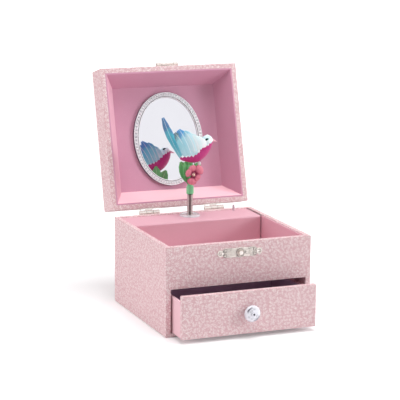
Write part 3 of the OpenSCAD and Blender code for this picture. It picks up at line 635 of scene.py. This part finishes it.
def wire_ring(place, ring, wire, steps, sides, lay=0.0):
    """Round wire bent into a ring, its radii in millimetres, turned about the X axis."""
    bpy.ops.mesh.primitive_torus_add(
        major_segments=steps, minor_segments=sides, major_radius=ring * MM,
        minor_radius=wire * MM, location=place, rotation=(lay, 0, 0),
    )
    bpy.ops.object.transform_apply(location=True, rotation=True, scale=True)
    return bpy.context.object


upright = math.pi / 2
scrolls = [
    wire_ring(catch_middle + Vector((side * across, 0.05, up)) * MM, ring, wire, 28, 8, upright)
    for side in (-1, 1)
    for across, up, ring, wire in (
        (16.2, 0.0, 1.25, 0.3), (12.2, 1.5, 1.1, 0.28), (12.2, -1.5, 1.1, 0.28),
        (8.6, 0.9, 0.7, 0.24), (8.6, -0.9, 0.7, 0.24),
    )
]
boss = [
    wire_ring(catch_middle, ring, wire, 40, 10, upright) for ring, wire in ((2.9, 0.42), (2.15, 0.25))
]
alone(leaf_plate, *scrolls, *boss, catch_piece)
bpy.ops.object.join()
bpy.ops.object.shade_smooth_by_angle(angle=math.radians(35))


def span(across, up):
    """The length of two socket values laid at right angles."""
    return (across * across + up * up).math("SQRT")


# Dark brown lines are painted in the stamping, close round each scroll and round the boss
stamped = Finish("stamped_nickel", Metallic=0.45, Roughness=0.36)
stamped_across = stamped.place("X").math("ABSOLUTE")
stamped_up = stamped.place("Z") - catch_middle.z / MM
worn = stamped.noise(stamped.place(), 0.8, 3.0)
sunk = 0.0
for across, up, reach in (
    (16.2, 0.0, 1.1), (12.2, 1.9, 1.25), (12.2, -1.9, 1.25), (7.6, 3.0, 0.8), (0.0, 0.0, 3.0),
):
    off_ring = span(stamped_across - across, stamped_up - up) + worn * 0.3 - reach - 0.15
    line = 1.0 - stamped.step(off_ring.math("ABSOLUTE"), 0.12, 0.34)
    sunk = line.math("MAXIMUM", sunk)
stamped_cream = stamped.blend(worn, tint(232, 219, 210), tint(246, 238, 232))
stamped.colour(sunk * 0.85, stamped_cream, tint(92, 74, 80))
stamped.set("Roughness", sunk * 0.25 + 0.26)
stamped.relief(worn, 0.2, 0.0001)
stamped.paint(catch_piece)

# ------------------------------------------------------------
# Drawer: a front of printed board, and a folded box behind it of pale paper with a plum
# lining. Its knob is cut like glass, and the small head of its screw shows in the middle.
# ------------------------------------------------------------
drawer_low = Vector((-55.2, -79, 3.4)) * MM
drawer_high = Vector((55.2, -75, 36.6)) * MM
drawer_board = wrap_board("drawer_front", "drawer", drawer_low, drawer_high)
printing.paint(drawer_board)

drawer_box = soften("drawer_body", "drawer", "plain_paper", 0.4 * MM)
drawer_paper = plain_paper("drawer_side_paper", tint(232, 186, 196), tint(240, 199, 206))
drawer_paper.paint(drawer_box)
drawer_inside = soften("drawer_lining", "drawer", "plain_paper", 0.2 * MM)
plum_paper = plain_paper("plum_lining_paper", tint(196, 172, 194), tint(208, 186, 204))
plum_paper.paint(drawer_inside)

# Rings of the knob from its foot to its face: radius, depth, and turns of half a facet
knob_centre = Vector((0, -79, 19.8)) * MM
knob_sides = 14
knob_rings = [
    (0, 0, 0), (3.0, 0.0, 0), (3.0, 2.1, 0), (5.1, 2.3, 0), (6.55, 3.9, 1), (6.6, 4.6, 2),
    (5.7, 6.0, 3), (4.7, 6.5, 4), (3.4, 6.85, 5), (1.8, 7.0, 6), (0, 7.0, 0),
]
last_ring = len(knob_rings) - 1
bpy.ops.mesh.primitive_uv_sphere_add(segments=knob_sides, ring_count=last_ring, radius=1)
knob = bpy.context.object
knob.name = "cut_knob"
for corner in knob.data.vertices:
    ring = round(math.acos(max(-1, min(1, -corner.co.z))) / math.pi * last_ring)
    radius, depth, twist = knob_rings[ring]
    turn = math.atan2(corner.co.y, corner.co.x) + twist * math.pi / knob_sides
    corner.co = knob_centre + Vector((radius * math.cos(turn), -depth, radius * math.sin(turn))) * MM
edit_whole(knob, bpy.ops.mesh.quads_convert_to_tris, face_outwards)
bpy.ops.object.shade_flat()

# Painted reflection: each cut face holds one shade, for the light and dark that cut glass mirrors.
# The darkest are middle-ring facets that look down into the foot, in arcs; some inner ones are darker
# at random
facet = knob.data.color_attributes.new("facet", "FLOAT_COLOR", "CORNER")
cutting = random.Random(7)
for face in knob.data.polygons:
    away = face.center - knob_centre
    turn = math.atan2(away.z, away.x)
    off_middle = math.hypot(away.x, away.z) / MM
    shade = 0.8 + 0.2 * cutting.random()
    if 4.8 < off_middle < 5.5 and -away.y / MM > 3.5 and math.cos(2 * (turn - 2.3)) > 0.4:
        shade = 0.5 * cutting.random()
    elif off_middle < 4.8 and cutting.random() < 0.3:
        shade = 0.6
    for loop in face.loop_indices:
        facet.data[loop].color = (shade, shade, shade, 1)
seat(knob, "drawer", "clear_knob", "drawer_knob")
cut_glass = Finish(
    "cut_knob_glass", Metallic=0.25, Roughness=0.08, Coat_Weight=0.3, Coat_Roughness=0.03)
cloudy = cut_glass.noise(cut_glass.place(), 0.9, 2.0)
cut_glass.colour(cut_glass.attribute("facet"), tint(70, 58, 86), tint(246, 244, 252))
cut_glass.set("Roughness", cloudy * 0.08 + 0.05)
cut_glass.paint(knob)

# Painted shade: the middle of the screw's head is painted dark, for the shade in its hollow
knob_bolt = soften("knob_screw", "drawer", "steel", 0.15 * MM)
knob_steel = Finish("knob_screw_steel", Metallic=0.6, Roughness=0.25)
off_axis = span(knob_steel.place("X"), knob_steel.place("Z") - knob_centre.z / MM)
painted_hollow_shade = 1.0 - knob_steel.step(off_axis, 0.65, 1.0)
knob_steel.colour(painted_hollow_shade, tint(238, 236, 244), tint(36, 30, 50))
knob_steel.paint(knob_bolt)

# ------------------------------------------------------------
# Musical movement: a brass bedplate screwed to the back wall carries the spring barrel, the
# pinned cylinder, its steel comb and the governor. The key behind the box winds the spring.
# ------------------------------------------------------------


def coat(finish, *names):
    """Gives CAD nodes that keep their shape a finish in their own material slots."""
    for name in names:
        for place in nodes[name].material_slots:
            place.material = finish.material


brass = Finish("turned_brass", Metallic=0.95, Roughness=0.3)
brass.drift(0.4, 4.0, tint(190, 150, 82), tint(226, 192, 124), (0.25, 0.2))
brass.grain(3.0, 0.12, 0.00006)
coat(brass, "bedplate", "barrel_bridge", "spring_barrel", "tune_cylinder", "cylinder_wheel",
     "governor_frame", "governor_idler", "governor_fan", "spindle_bracket")
steel = Finish("bright_steel", Metallic=0.95, Roughness=0.25)
steel.drift(1.1, 3.0, tint(188, 186, 192), tint(226, 224, 228), (0.2, 0.2))
steel.grain(3.5, 0.1, 0.00005)
coat(steel, "bedplate_screws", "cylinder_shaft", "comb", "comb_screws", "spindle", "stop_rod")

spring_strip = Finish("blued_spring", Metallic=0.9, Roughness=0.35)
spring_strip.drift(0.8, 3.0, tint(64, 78, 112), tint(104, 116, 146))
coat(spring_strip, "mainspring")

arbor_piece = soften("winding_arbor", "winder", "steel", 0.15 * MM)
key_piece = soften("winding_key", "winder", "steel", 0.35 * MM)
steel.paint(arbor_piece, key_piece)

# ------------------------------------------------------------
# Spring stem: close-wound steel wire, one coil on the next, that bends when the lid comes
# down. It stands on a bright round escutcheon let into the shelf.
# ------------------------------------------------------------
stem_y = 44.0
stem_foot_z = 70.2
stem_pivot_z = 73.5
stem_step = 4.5
stem_gap = 0.15
coil_pitch = 0.74
wire_radius = 0.37
coil_radius = 1.97
coil_slant = math.radians(4)

rosette = soften("escutcheon", "case", "pale_metal", 0.2 * MM, 3)
rosette_rim = wire_ring(Vector((0, stem_y, stem_foot_z)) * MM, 7.7, 0.42, 64, 12)
bpy.ops.object.shade_smooth()
rosette_rim.name = "escutcheon_rim"
seat(rosette_rim, "case", "pale_metal")
chrome = Finish("bright_escutcheon", Metallic=0.4, Roughness=0.16)
chrome.drift(0.5, 3.0, tint(226, 224, 228), tint(244, 243, 246), (0.14, 0.1))
chrome.paint(rosette, rosette_rim)


def joined_as(name, pieces, body, slot, *replaced):
    """Joins pieces into one smooth piece that rides a body, in place of CAD nodes."""
    alone(*pieces)
    bpy.ops.object.join()
    whole = bpy.context.object
    whole.name = name
    bpy.ops.object.shade_smooth()
    seat(whole, body, slot, *replaced)
    return whole


def coil(node, body, bottom, top):
    """One length of the close-wound spring, a ring for each turn of the wire."""
    turns = max(2, round((top - bottom) / coil_pitch))
    pitch = (top - bottom - 2 * wire_radius) / (turns - 1)
    low = bottom + wire_radius
    rings = [
        wire_ring(Vector((0, stem_y, low + number * pitch)) * MM, coil_radius, wire_radius, 32, 8,
                  coil_slant)
        for number in range(turns)
    ]
    return joined_as("coil_" + node, rings, body, "spring_steel", node)


coils = [coil("stem_foot", "case", stem_foot_z, stem_pivot_z - stem_gap)]
for number, node in enumerate(("stem_low", "stem_mid", "stem_top")):
    bottom = stem_pivot_z + number * stem_step + stem_gap
    top = stem_pivot_z + (number + 1) * stem_step - (stem_gap if number < 2 else 0)
    coils.append(coil(node, f"stem_{number + 1}", bottom, top))

# Painted reflection: a dark line runs up the coils on the side that faces the dark flag
core_x, core_y = 0.9255, 0.3789
coil_steel = Finish("coil_steel", Metallic=1.0, Roughness=0.22)
oil = coil_steel.noise(coil_steel.place(), 0.7, 3.0)
coil_tone = coil_steel.blend(oil, tint(204, 188, 186), tint(236, 224, 221))
seen_across = coil_steel.place("X") * core_x - (coil_steel.place("Y") - stem_y) * core_y
painted_flag_reflection = 1.0 - coil_steel.step(seen_across.math("ABSOLUTE"), 0.4, 1.1)
coil_steel.colour(painted_flag_reflection * 0.8, coil_tone, tint(104, 82, 84))
coil_steel.set("Roughness", oil * 0.2 + 0.24)
coil_steel.paint(*coils)

# ------------------------------------------------------------
# Figurine stand: a moulded green socket pressed on the stem, broad leaves that grow out of
# it, and an open coral flower on its front with a dark eye and pale stamens.
# ------------------------------------------------------------
figurine_foot = Vector((0, stem_y, 87.6)) * MM


def on_figurine(x, depth, up):
    """A point of the figurine in millimetres from the middle of its foot."""
    return figurine_foot + Vector((x, depth, up)) * MM


def spread(values, share):
    """A value between evenly spaced ones, at a share from 0 to 1 of the way."""
    place = min(max(share, 0.0), 1.0) * (len(values) - 1)
    number = min(int(place), len(values) - 2)
    part = place - number
    part = part * part * (3 - 2 * part)
    return values[number] * (1 - part) + values[number + 1] * part


def blade(name, spine, widths, facing, thickness=0.5, cup=0.18, ripple=0.0, rows=18, columns=8):
    """A feather, petal or leaf along three points, as wide at each share as widths says."""
    start, middle, end = (on_figurine(*point) for point in spine)
    pull = middle * 2 - (start + end) / 2
    bpy.ops.mesh.primitive_grid_add(x_subdivisions=columns, y_subdivisions=rows, size=2)
    piece = bpy.context.object
    piece.name = name
    blade_map = piece.data.uv_layers.new(name="blade")
    flat = [corner.co.copy() for corner in piece.data.vertices]
    for corner, place in zip(piece.data.vertices, flat):
        share = (place.y + 1) / 2
        centre = start * (1 - share) ** 2 + pull * 2 * share * (1 - share) + end * share ** 2
        along = ((pull - start) * (1 - share) + (end - pull) * share).normalized()
        side = along.cross(Vector(facing)).normalized()
        out = side.cross(along)
        half = spread(widths, share) * MM
        bend = cup * half * (1 - place.x ** 2) + ripple * half * math.sin(place.x * 9 + share * 4)
        corner.co = centre + side * half * place.x + out * bend
    for face in piece.data.polygons:
        for loop in face.loop_indices:
            place = flat[piece.data.loops[loop].vertex_index]
            blade_map.data[loop].uv = (place.x, (place.y + 1) / 2)
    modify(piece, "SOLIDIFY", thickness=thickness * MM, offset=0)
    modify(piece, "SUBSURF", levels=1, render_levels=1)
    bpy.ops.object.shade_smooth()
    return piece


socket_piece = soften("figurine_socket", "figurine", "green_enamel", 0.3 * MM, 3)
socket_paint = Finish("socket_green", Roughness=0.35, Coat_Weight=0.2)
socket_paint.drift(0.35, 3.0, tint(112, 196, 140), tint(146, 218, 164), (0.2, 0.28))
socket_paint.paint(socket_piece)

leaf_shape = [0.5, 3.0, 4.5, 4.6, 3.6, 1.0]
small_leaf_shape = [0.8, 1.5, 2.1, 2.2, 1.7, 0.5]
leaf_parts = [
    blade("leaf", spine, shape, (0, -1, tilt), 0.6)
    for spine, shape, tilt in (
        (((-2.0, -1.2, 8), (-4.4, -1.4, 17), (-5.8, -1.2, 26.5)), small_leaf_shape, 0),
        (((-1.2, 2, 8), (-2.8, 4.2, 16.5), (-6.0, 6.4, 25.4)), leaf_shape, 0.1),
        (((2.0, 2, 8), (5.6, 3.8, 16), (10.4, 5.4, 24.4)), leaf_shape, 0.1),
        (((0, 2, 8), (0.8, 5.0, 18), (1, 7.2, 28)), leaf_shape, 0.2),
    )
]
leaf_piece = joined_as("moulded_leaves", leaf_parts, "figurine", "green_enamel", "leaves")


def on_blade(paint):
    """A spot's own place on a blade, its share of the length, and how far off the middle."""
    spot = paint.node("UVMap", {"uv_map": "blade"})
    return spot, spot.axis("Y"), spot.axis("X").math("ABSOLUTE")


def slanting(value):
    """0.5 at each whole number and 0 halfway between."""
    return (value.math("FRACT") - 0.5).math("ABSOLUTE")


leaf_paint = Finish("leaf_green", Roughness=0.4, Coat_Weight=0.2)
_, leaf_along, leaf_across = on_blade(leaf_paint)
vein = 1.0 - leaf_paint.step(leaf_across, 0.04, 0.14)
ribs = 1.0 - leaf_paint.step(slanting(leaf_along * 22.0 - leaf_across * 5.0), 0.05, 0.16)
leaf_cloud = leaf_paint.noise(leaf_paint.place(), 0.25, 3.0)
leaf_ground = leaf_paint.blend(leaf_cloud, tint(40, 140, 84), tint(86, 184, 104))
leaf_light = leaf_paint.blend(leaf_along, leaf_ground, tint(110, 196, 116))
leaf_lines = vein.math("MAXIMUM", ribs * 0.4)
leaf_paint.colour(leaf_lines, leaf_light, tint(160, 216, 150))
leaf_paint.relief(vein + ribs * 0.4, 0.3, 0.0002)
leaf_paint.paint(leaf_piece)

flower_centre = (1.0, -4.2, 16.4)
petals = []
for number, (angle, reach) in enumerate(((36, 9.2), (98, 7.6), (160, 7.0), (256, 8.4), (-38, 6.6))):
    turn = math.radians(angle)
    lean = 0.3 * (number % 2)
    spine = [
        (flower_centre[0] + along * reach * math.cos(turn), flower_centre[1] + out + lean,
         flower_centre[2] + along * reach * math.sin(turn))
        for along, out in ((0.12, 0.4), (0.55, -0.9), (1.0, -0.3))
    ]
    half_widths = [part * reach for part in (0.12, 0.2, 0.36, 0.5, 0.46, 0.2)]
    petals.append(blade("petal", spine, half_widths, (0, -1, 0), 0.6, 0.14, 0.04, 14, 10))
flower_piece = joined_as("coral_petals", petals, "figurine", "pink_enamel", "flower")
petal_paint = Finish("petal_coral", Roughness=0.42, Coat_Weight=0.15)
petal_at, petal_along, petal_across = on_blade(petal_paint)
drawn_out = petal_paint.vector("MULTIPLY", petal_at, (9.0, 1.2, 1.0))
streaks = petal_paint.noise(drawn_out, 1.0, 2.0)
throat = 1.0 - petal_paint.step(petal_along + streaks * 0.25, 0.28, 0.62)
petal_ground = petal_paint.blend(petal_along, tint(206, 80, 120), tint(228, 126, 146))
petal_ground = petal_paint.blend(streaks * 0.3, petal_ground, tint(244, 178, 184))
petal_edge = petal_paint.step(petal_across, 0.7, 1.0)
petal_ground = petal_paint.blend(petal_edge * 0.7, petal_ground, tint(170, 62, 96))
petal_paint.colour(throat, petal_ground, tint(128, 18, 66))
petal_paint.relief(streaks - petal_across * 0.4, 0.25, 0.00025)
petal_paint.paint(flower_piece)


def in_flower(x, depth, up):
    """A point of the figurine in millimetres from the middle of the flower."""
    return on_figurine(flower_centre[0] + x, flower_centre[1] + depth, flower_centre[2] + up)


def ball(segments, rings, shape):
    """A sphere whose corners go where shape(x, depth, up) puts them."""
    bpy.ops.mesh.primitive_uv_sphere_add(segments=segments, ring_count=rings, radius=1)
    piece = bpy.context.object
    for corner in piece.data.vertices:
        corner.co = shape(*corner.co)
    return piece


def heart_shape(x, depth, up):
    bumpy = 2.1 * (1 + 0.1 * math.sin(9 * math.atan2(up, x)))
    return in_flower(bumpy * x, 1.1 * depth - 0.7, bumpy * up)


flower_heart = joined_as("flower_heart", [ball(24, 12, heart_shape)], "figurine", "pink_enamel")
heart_paint = Finish("heart_magenta", Roughness=0.5)
heart_spot = heart_paint.drift(1.8, 2.0, tint(112, 12, 60), tint(176, 40, 96))
heart_paint.relief(heart_spot, 0.5, 0.0003)
heart_paint.paint(flower_heart)

# One stamen in the middle and six smaller ones round it
stamens = []
for number in range(7):
    turn = math.radians(360 / 7 * number + 10)
    reach, depth, radius = (1.3, -1.35, 0.36) if number else (0, -1.7, 0.8)
    bpy.ops.mesh.primitive_uv_sphere_add(
        segments=12, ring_count=8, radius=radius * MM,
        location=in_flower(reach * math.cos(turn), depth, reach * math.sin(turn)),
    )
    stamens.append(bpy.context.object)
    bpy.ops.object.transform_apply(location=True, rotation=True, scale=True)
stamen_piece = joined_as("stamens", stamens, "figurine", "pink_enamel")
stamen_paint = Finish("stamen_cream", Roughness=0.5)
stamen_paint.drift(1.2, 2.0, tint(250, 226, 190), tint(255, 244, 222))
stamen_paint.paint(stamen_piece)

# ------------------------------------------------------------
# Bird: a small moulded body with a magenta belly, a pale head and back and a fine bill. Six
# feathers make the near raised wing, four the far one, and two long ones the tail.
# ------------------------------------------------------------
body_path = [
    (-9.0, 28.8, 0.0), (-7.6, 29.3, 1.7), (-4.2, 29.9, 3.5), (-0.4, 30.5, 5.0), (3.4, 31.2, 6.0),
    (7.0, 33.0, 6.1), (10.2, 35.4, 5.7), (12.8, 38.4, 5.2), (14.1, 41.1, 5.0), (14.5, 43.3, 4.8),
    (14.7, 45.8, 3.4), (14.7, 47.8, 0.0),
]
belly_border = [
    (-9, 30.0), (-7.5, 30.6), (1.0, 31.6), (5.8, 34.4), (7.2, 38.4), (11.7, 38.9), (19.4, 43.0),
]


def along_path(path, share):
    """A smooth point on a row of points, by Catmull and Rom's rule."""
    place = min(max(share, 0.0), 1.0) * (len(path) - 1)
    number = min(int(place), len(path) - 2)
    part = place - number
    before, first, second, after = (
        path[min(max(number + step, 0), len(path) - 1)] for step in (-1, 0, 1, 2)
    )
    return [
        0.5 * (2 * b + (c - a) * part + (2 * a - 5 * b + 4 * c - d) * part ** 2
               + (3 * b - a - 3 * c + d) * part ** 3)
        for a, b, c, d in zip(before, first, second, after)
    ]


def above_border(x, up):
    """How far a point stands above the line where the belly's paint ends."""
    for (low_x, low_up), (high_x, high_up) in zip(belly_border, belly_border[1:]):
        if x <= high_x:
            part = max(0.0, (x - low_x) / (high_x - low_x))
            return up - (low_up + (high_up - low_up) * part)
    return up - belly_border[-1][1]


body_rings = 44
bpy.ops.mesh.primitive_uv_sphere_add(segments=48, ring_count=body_rings, radius=1)
bird = bpy.context.object
over_belly = bird.data.attributes.new("over_belly", "FLOAT", "POINT")
for number, corner in enumerate(bird.data.vertices):
    share = math.acos(max(-1.0, min(1.0, -corner.co.z))) / math.pi
    turn = math.atan2(corner.co.y, corner.co.x)
    x, up, radius = along_path(body_path, share)
    next_x, next_up, _ = along_path(body_path, min(share + 0.02, 1.0))
    last_x, last_up, _ = along_path(body_path, max(share - 0.02, 0.0))
    slope = math.atan2(next_up - last_up, next_x - last_x)
    radius = max(radius, 0.0) if 0 < share < 1 else 0.0
    across, rise = radius * 0.94 * math.cos(turn), radius * math.sin(turn)
    spot = (x - math.sin(slope) * rise, across, up + math.cos(slope) * rise)
    corner.co = on_figurine(*spot)
    over_belly.data[number].value = above_border(spot[0], spot[2])
edit_whole(bird, face_outwards)
bird_piece = joined_as("bird_body_shell", [bird], "figurine", "magenta_enamel", "bird_body")

plumage = Finish("bird_plumage", Roughness=0.42, Coat_Weight=0.1)
scallop = (plumage.place("X") * 2.4).math("SINE") * 0.45
scallop = scallop + plumage.noise(plumage.place(), 0.9, 2.0) * 1.2 - 0.6
back_mask = plumage.step(plumage.attribute("over_belly") + scallop, -0.25, 0.25)
down = plumage.noise(plumage.place(), 1.3, 3.0)
belly_tone = plumage.blend(down, tint(172, 24, 104), tint(208, 58, 138))
back_cloud = plumage.noise(plumage.place(), 0.32, 2.0)
back_cloud = plumage.step(back_cloud, 0.42, 0.62)
back_tone = plumage.blend(back_cloud, tint(250, 249, 250), tint(204, 234, 240))
crown = plumage.step(plumage.place("Z"), 131.5, 134.5)
back_tone = plumage.blend(crown * 0.5, back_tone, tint(206, 232, 240))
plumage.colour(back_mask, belly_tone, back_tone)
barbs = plumage.vector("MULTIPLY", plumage.place(), (0.8, 1.4, 1.8))
plumage.relief(plumage.noise(barbs, 1.0, 3.0), 0.35, 0.0003)
plumage.paint(bird_piece)

bill_length = 5.6
bill_turn = Matrix.Rotation(math.radians(104), 4, "Y")
bpy.ops.mesh.primitive_cone_add(
    vertices=20, radius1=2.2, radius2=0.2, depth=bill_length, end_fill_type="TRIFAN")
bill = bpy.context.object
edit_whole(bill, lambda: bpy.ops.mesh.subdivide(number_cuts=3))
for corner in bill.data.vertices:
    share = corner.co.z / bill_length + 0.5
    narrow = 1 - 0.25 * math.sin(math.pi * share)
    shaped = Vector((corner.co.x * narrow, corner.co.y * narrow * 0.75, corner.co.z))
    shaped = bill_turn @ shaped
    corner.co = on_figurine(20.3 + shaped.x, shaped.y, 42.6 + shaped.z - 0.5 * share ** 2)
bill_piece = joined_as("bird_bill", [bill], "figurine", "magenta_enamel")
bpy.ops.object.shade_smooth_by_angle(angle=math.radians(50))
bill_paint = Finish("bill_pink", Roughness=0.35, Coat_Weight=0.2)
bill_paint.drift(0.8, 2.0, tint(240, 168, 188), tint(250, 200, 210), (0.2, 0.26))
bill_paint.paint(bill_piece)


def eye_shape(side):
    return lambda x, depth, up: on_figurine(
        13.0 + 1.6 * x, side * 3.7 + 0.6 * depth, 44.3 + 1.05 * (1 - 0.25 * x) * up + 0.3 * x)


eyes = [ball(20, 12, eye_shape(side)) for side in (-1, 1)]
eye_piece = joined_as("bird_eyes", eyes, "figurine", "magenta_enamel")
eye_paint = Finish("eye_black_green", Roughness=0.15, Coat_Weight=0.6)
eye_paint.drift(0.9, 2.0, tint(14, 40, 40), tint(24, 74, 68))
eye_paint.paint(eye_piece)


pale = tint(250, 250, 252)
ice_blue = tint(172, 226, 236)


def feather_paint(name, root, middle, tip, tip_start):
    """Enamel on a feather: a pale shaft, fine slanting barbs and a darker tip."""
    paint = Finish(name, Roughness=0.4, Coat_Weight=0.12)
    _, along, across = on_blade(paint)
    barb = paint.step(slanting(along * 26.0 - across * 6.0), 0.12, 0.34)
    wash = paint.noise(paint.place(), 0.45, 3.0)
    tone = paint.blend(paint.step(along + wash * 0.3, 0.2, 0.65), root, middle)
    far_end = along + wash * 0.35 + across * 0.08
    tone = paint.blend(paint.step(far_end, tip_start, tip_start + 0.22), tone, tip)
    tone = paint.blend(barb * 0.16, tone, pale)
    line = 1.0 - paint.step(across, 0.03, 0.1)
    paint.colour(line * 0.6, tone, pale)
    paint.set("Roughness", wash * 0.2 + 0.3)
    return paint.relief(barb * 0.5 - line, 0.35, 0.0002)


feather_shape = [0.75, 0.98, 1.0, 0.92, 0.74, 0.22]


def feathered(name, kind, feathers, facing, cup, slot, node):
    """Joins feathers, each given as a spine, half widths and its paints, into one piece."""
    parts = []
    for number, (spine, widths, *paints) in enumerate(feathers, 1):
        if not isinstance(widths, list):
            widths = [widths * part for part in feather_shape]
        feather = blade(f"{kind}_{number}", spine, widths, facing, 0.6, cup)
        feather_paint(f"paint_{kind}_{number}", *paints).paint(feather)
        parts.append(feather)
    joined_as(name, parts, "figurine", slot, node)


feathered("near_wing_feathers", "near_feather", (
    (((-4.6, -5.2, 32.5), (-9.6, -6.5, 42.8), (-16.8, -7.6, 52.0)), 4.3,
     ice_blue, tint(142, 212, 226), tint(62, 112, 128), 0.88),
    (((-1.8, -5.7, 33.5), (-6.6, -6.9, 44.2), (-13.2, -8.0, 54.6)), 4.4,
     ice_blue, tint(150, 216, 232), tint(30, 146, 210), 0.84),
    (((1.3, -6.0, 35), (-2.0, -7.1, 44.2), (-8.6, -7.9, 53.0)), 4.3,
     tint(198, 234, 240), tint(190, 230, 240), tint(120, 196, 222), 0.95),
    (((4.5, -6.1, 36.8), (2.6, -6.9, 43.2), (-2.8, -7.4, 50.2)), 4.0,
     tint(226, 244, 246), tint(220, 241, 245), tint(186, 226, 236), 1.0),
    (((7.2, -5.7, 38.2), (6.2, -6.3, 42.8), (2.4, -6.9, 47.6)), 3.6,
     pale, tint(238, 248, 250), tint(212, 238, 242), 1.05),
    (((9.0, -5.0, 38.6), (8.8, -5.5, 42), (6.6, -5.9, 45.6)), 3.0,
     pale, tint(246, 251, 252), tint(220, 241, 245), 1.05),
), (0, -1, 0), 0.16, "blue_enamel", "near_wing")
feathered("far_wing_feathers", "far_feather", (
    (((-3, 5.2, 31), (-6.2, 6.5, 39.4), (-11.6, 7.6, 48.0)), 4.4,
     tint(120, 206, 216), tint(70, 190, 214), tint(20, 120, 196), 0.72),
    (((0, 5.7, 32), (-3.4, 6.9, 42), (-8.0, 8.0, 51)), 4.6,
     tint(130, 212, 222), tint(80, 196, 220), tint(26, 130, 204), 0.76),
    (((3, 6.0, 33.5), (1, 7.0, 41.8), (-3.0, 7.8, 49.4)), 4.4,
     tint(156, 222, 230), tint(112, 208, 224), tint(48, 156, 210), 0.82),
    (((6, 6.0, 35.5), (4.8, 6.7, 40.4), (2.4, 7.3, 46)), 4.0,
     tint(200, 236, 240), tint(168, 226, 236), tint(96, 188, 220), 0.9),
), (0, 1, 0), 0.16, "teal_enamel", "far_wing")
feathered("tail_plumes", "long_feather", (
    (((-7.4, 0.5, 28.6), (-16.0, 1.0, 44.8), (-23.4, 1.6, 63.2)), [0.9, 1.5, 2.3, 3.0, 2.8, 1.2],
     tint(110, 200, 208), tint(52, 184, 204), tint(18, 104, 160), 0.8),
    (((-7, 1.6, 28.8), (-13.4, 2.8, 42.8), (-19.6, 4.0, 57.0)), [0.9, 1.5, 2.2, 2.8, 2.6, 1.1],
     tint(110, 200, 208), tint(60, 188, 210), tint(24, 116, 180), 0.8),
), (0, -1, 0), 0.14, "teal_enamel", "tail_feathers")


def bud_shape(turn, reach):
    return lambda x, depth, up: on_figurine(
        7.2 + reach * math.cos(turn) + 1.3 * x, 1.1 * depth - 2.2, 24.9 + reach * math.sin(turn) + up)


# A small white bud of three lobes sits between the leaves and the bird's belly
bud_parts = [ball(18, 12, bud_shape(turn, reach)) for turn, reach in ((0, 0), (2.1, 0.7), (4.2, 0.7))]
bud_piece = joined_as("white_bud", bud_parts, "figurine", "pink_enamel")
bud_paint = Finish("bud_white", Roughness=0.45)
bud_tone = bud_paint.drift(0.9, 2.0, tint(236, 222, 226), tint(251, 248, 249))
bud_paint.relief(bud_tone, 0.3, 0.0002)
bud_paint.paint(bud_piece)
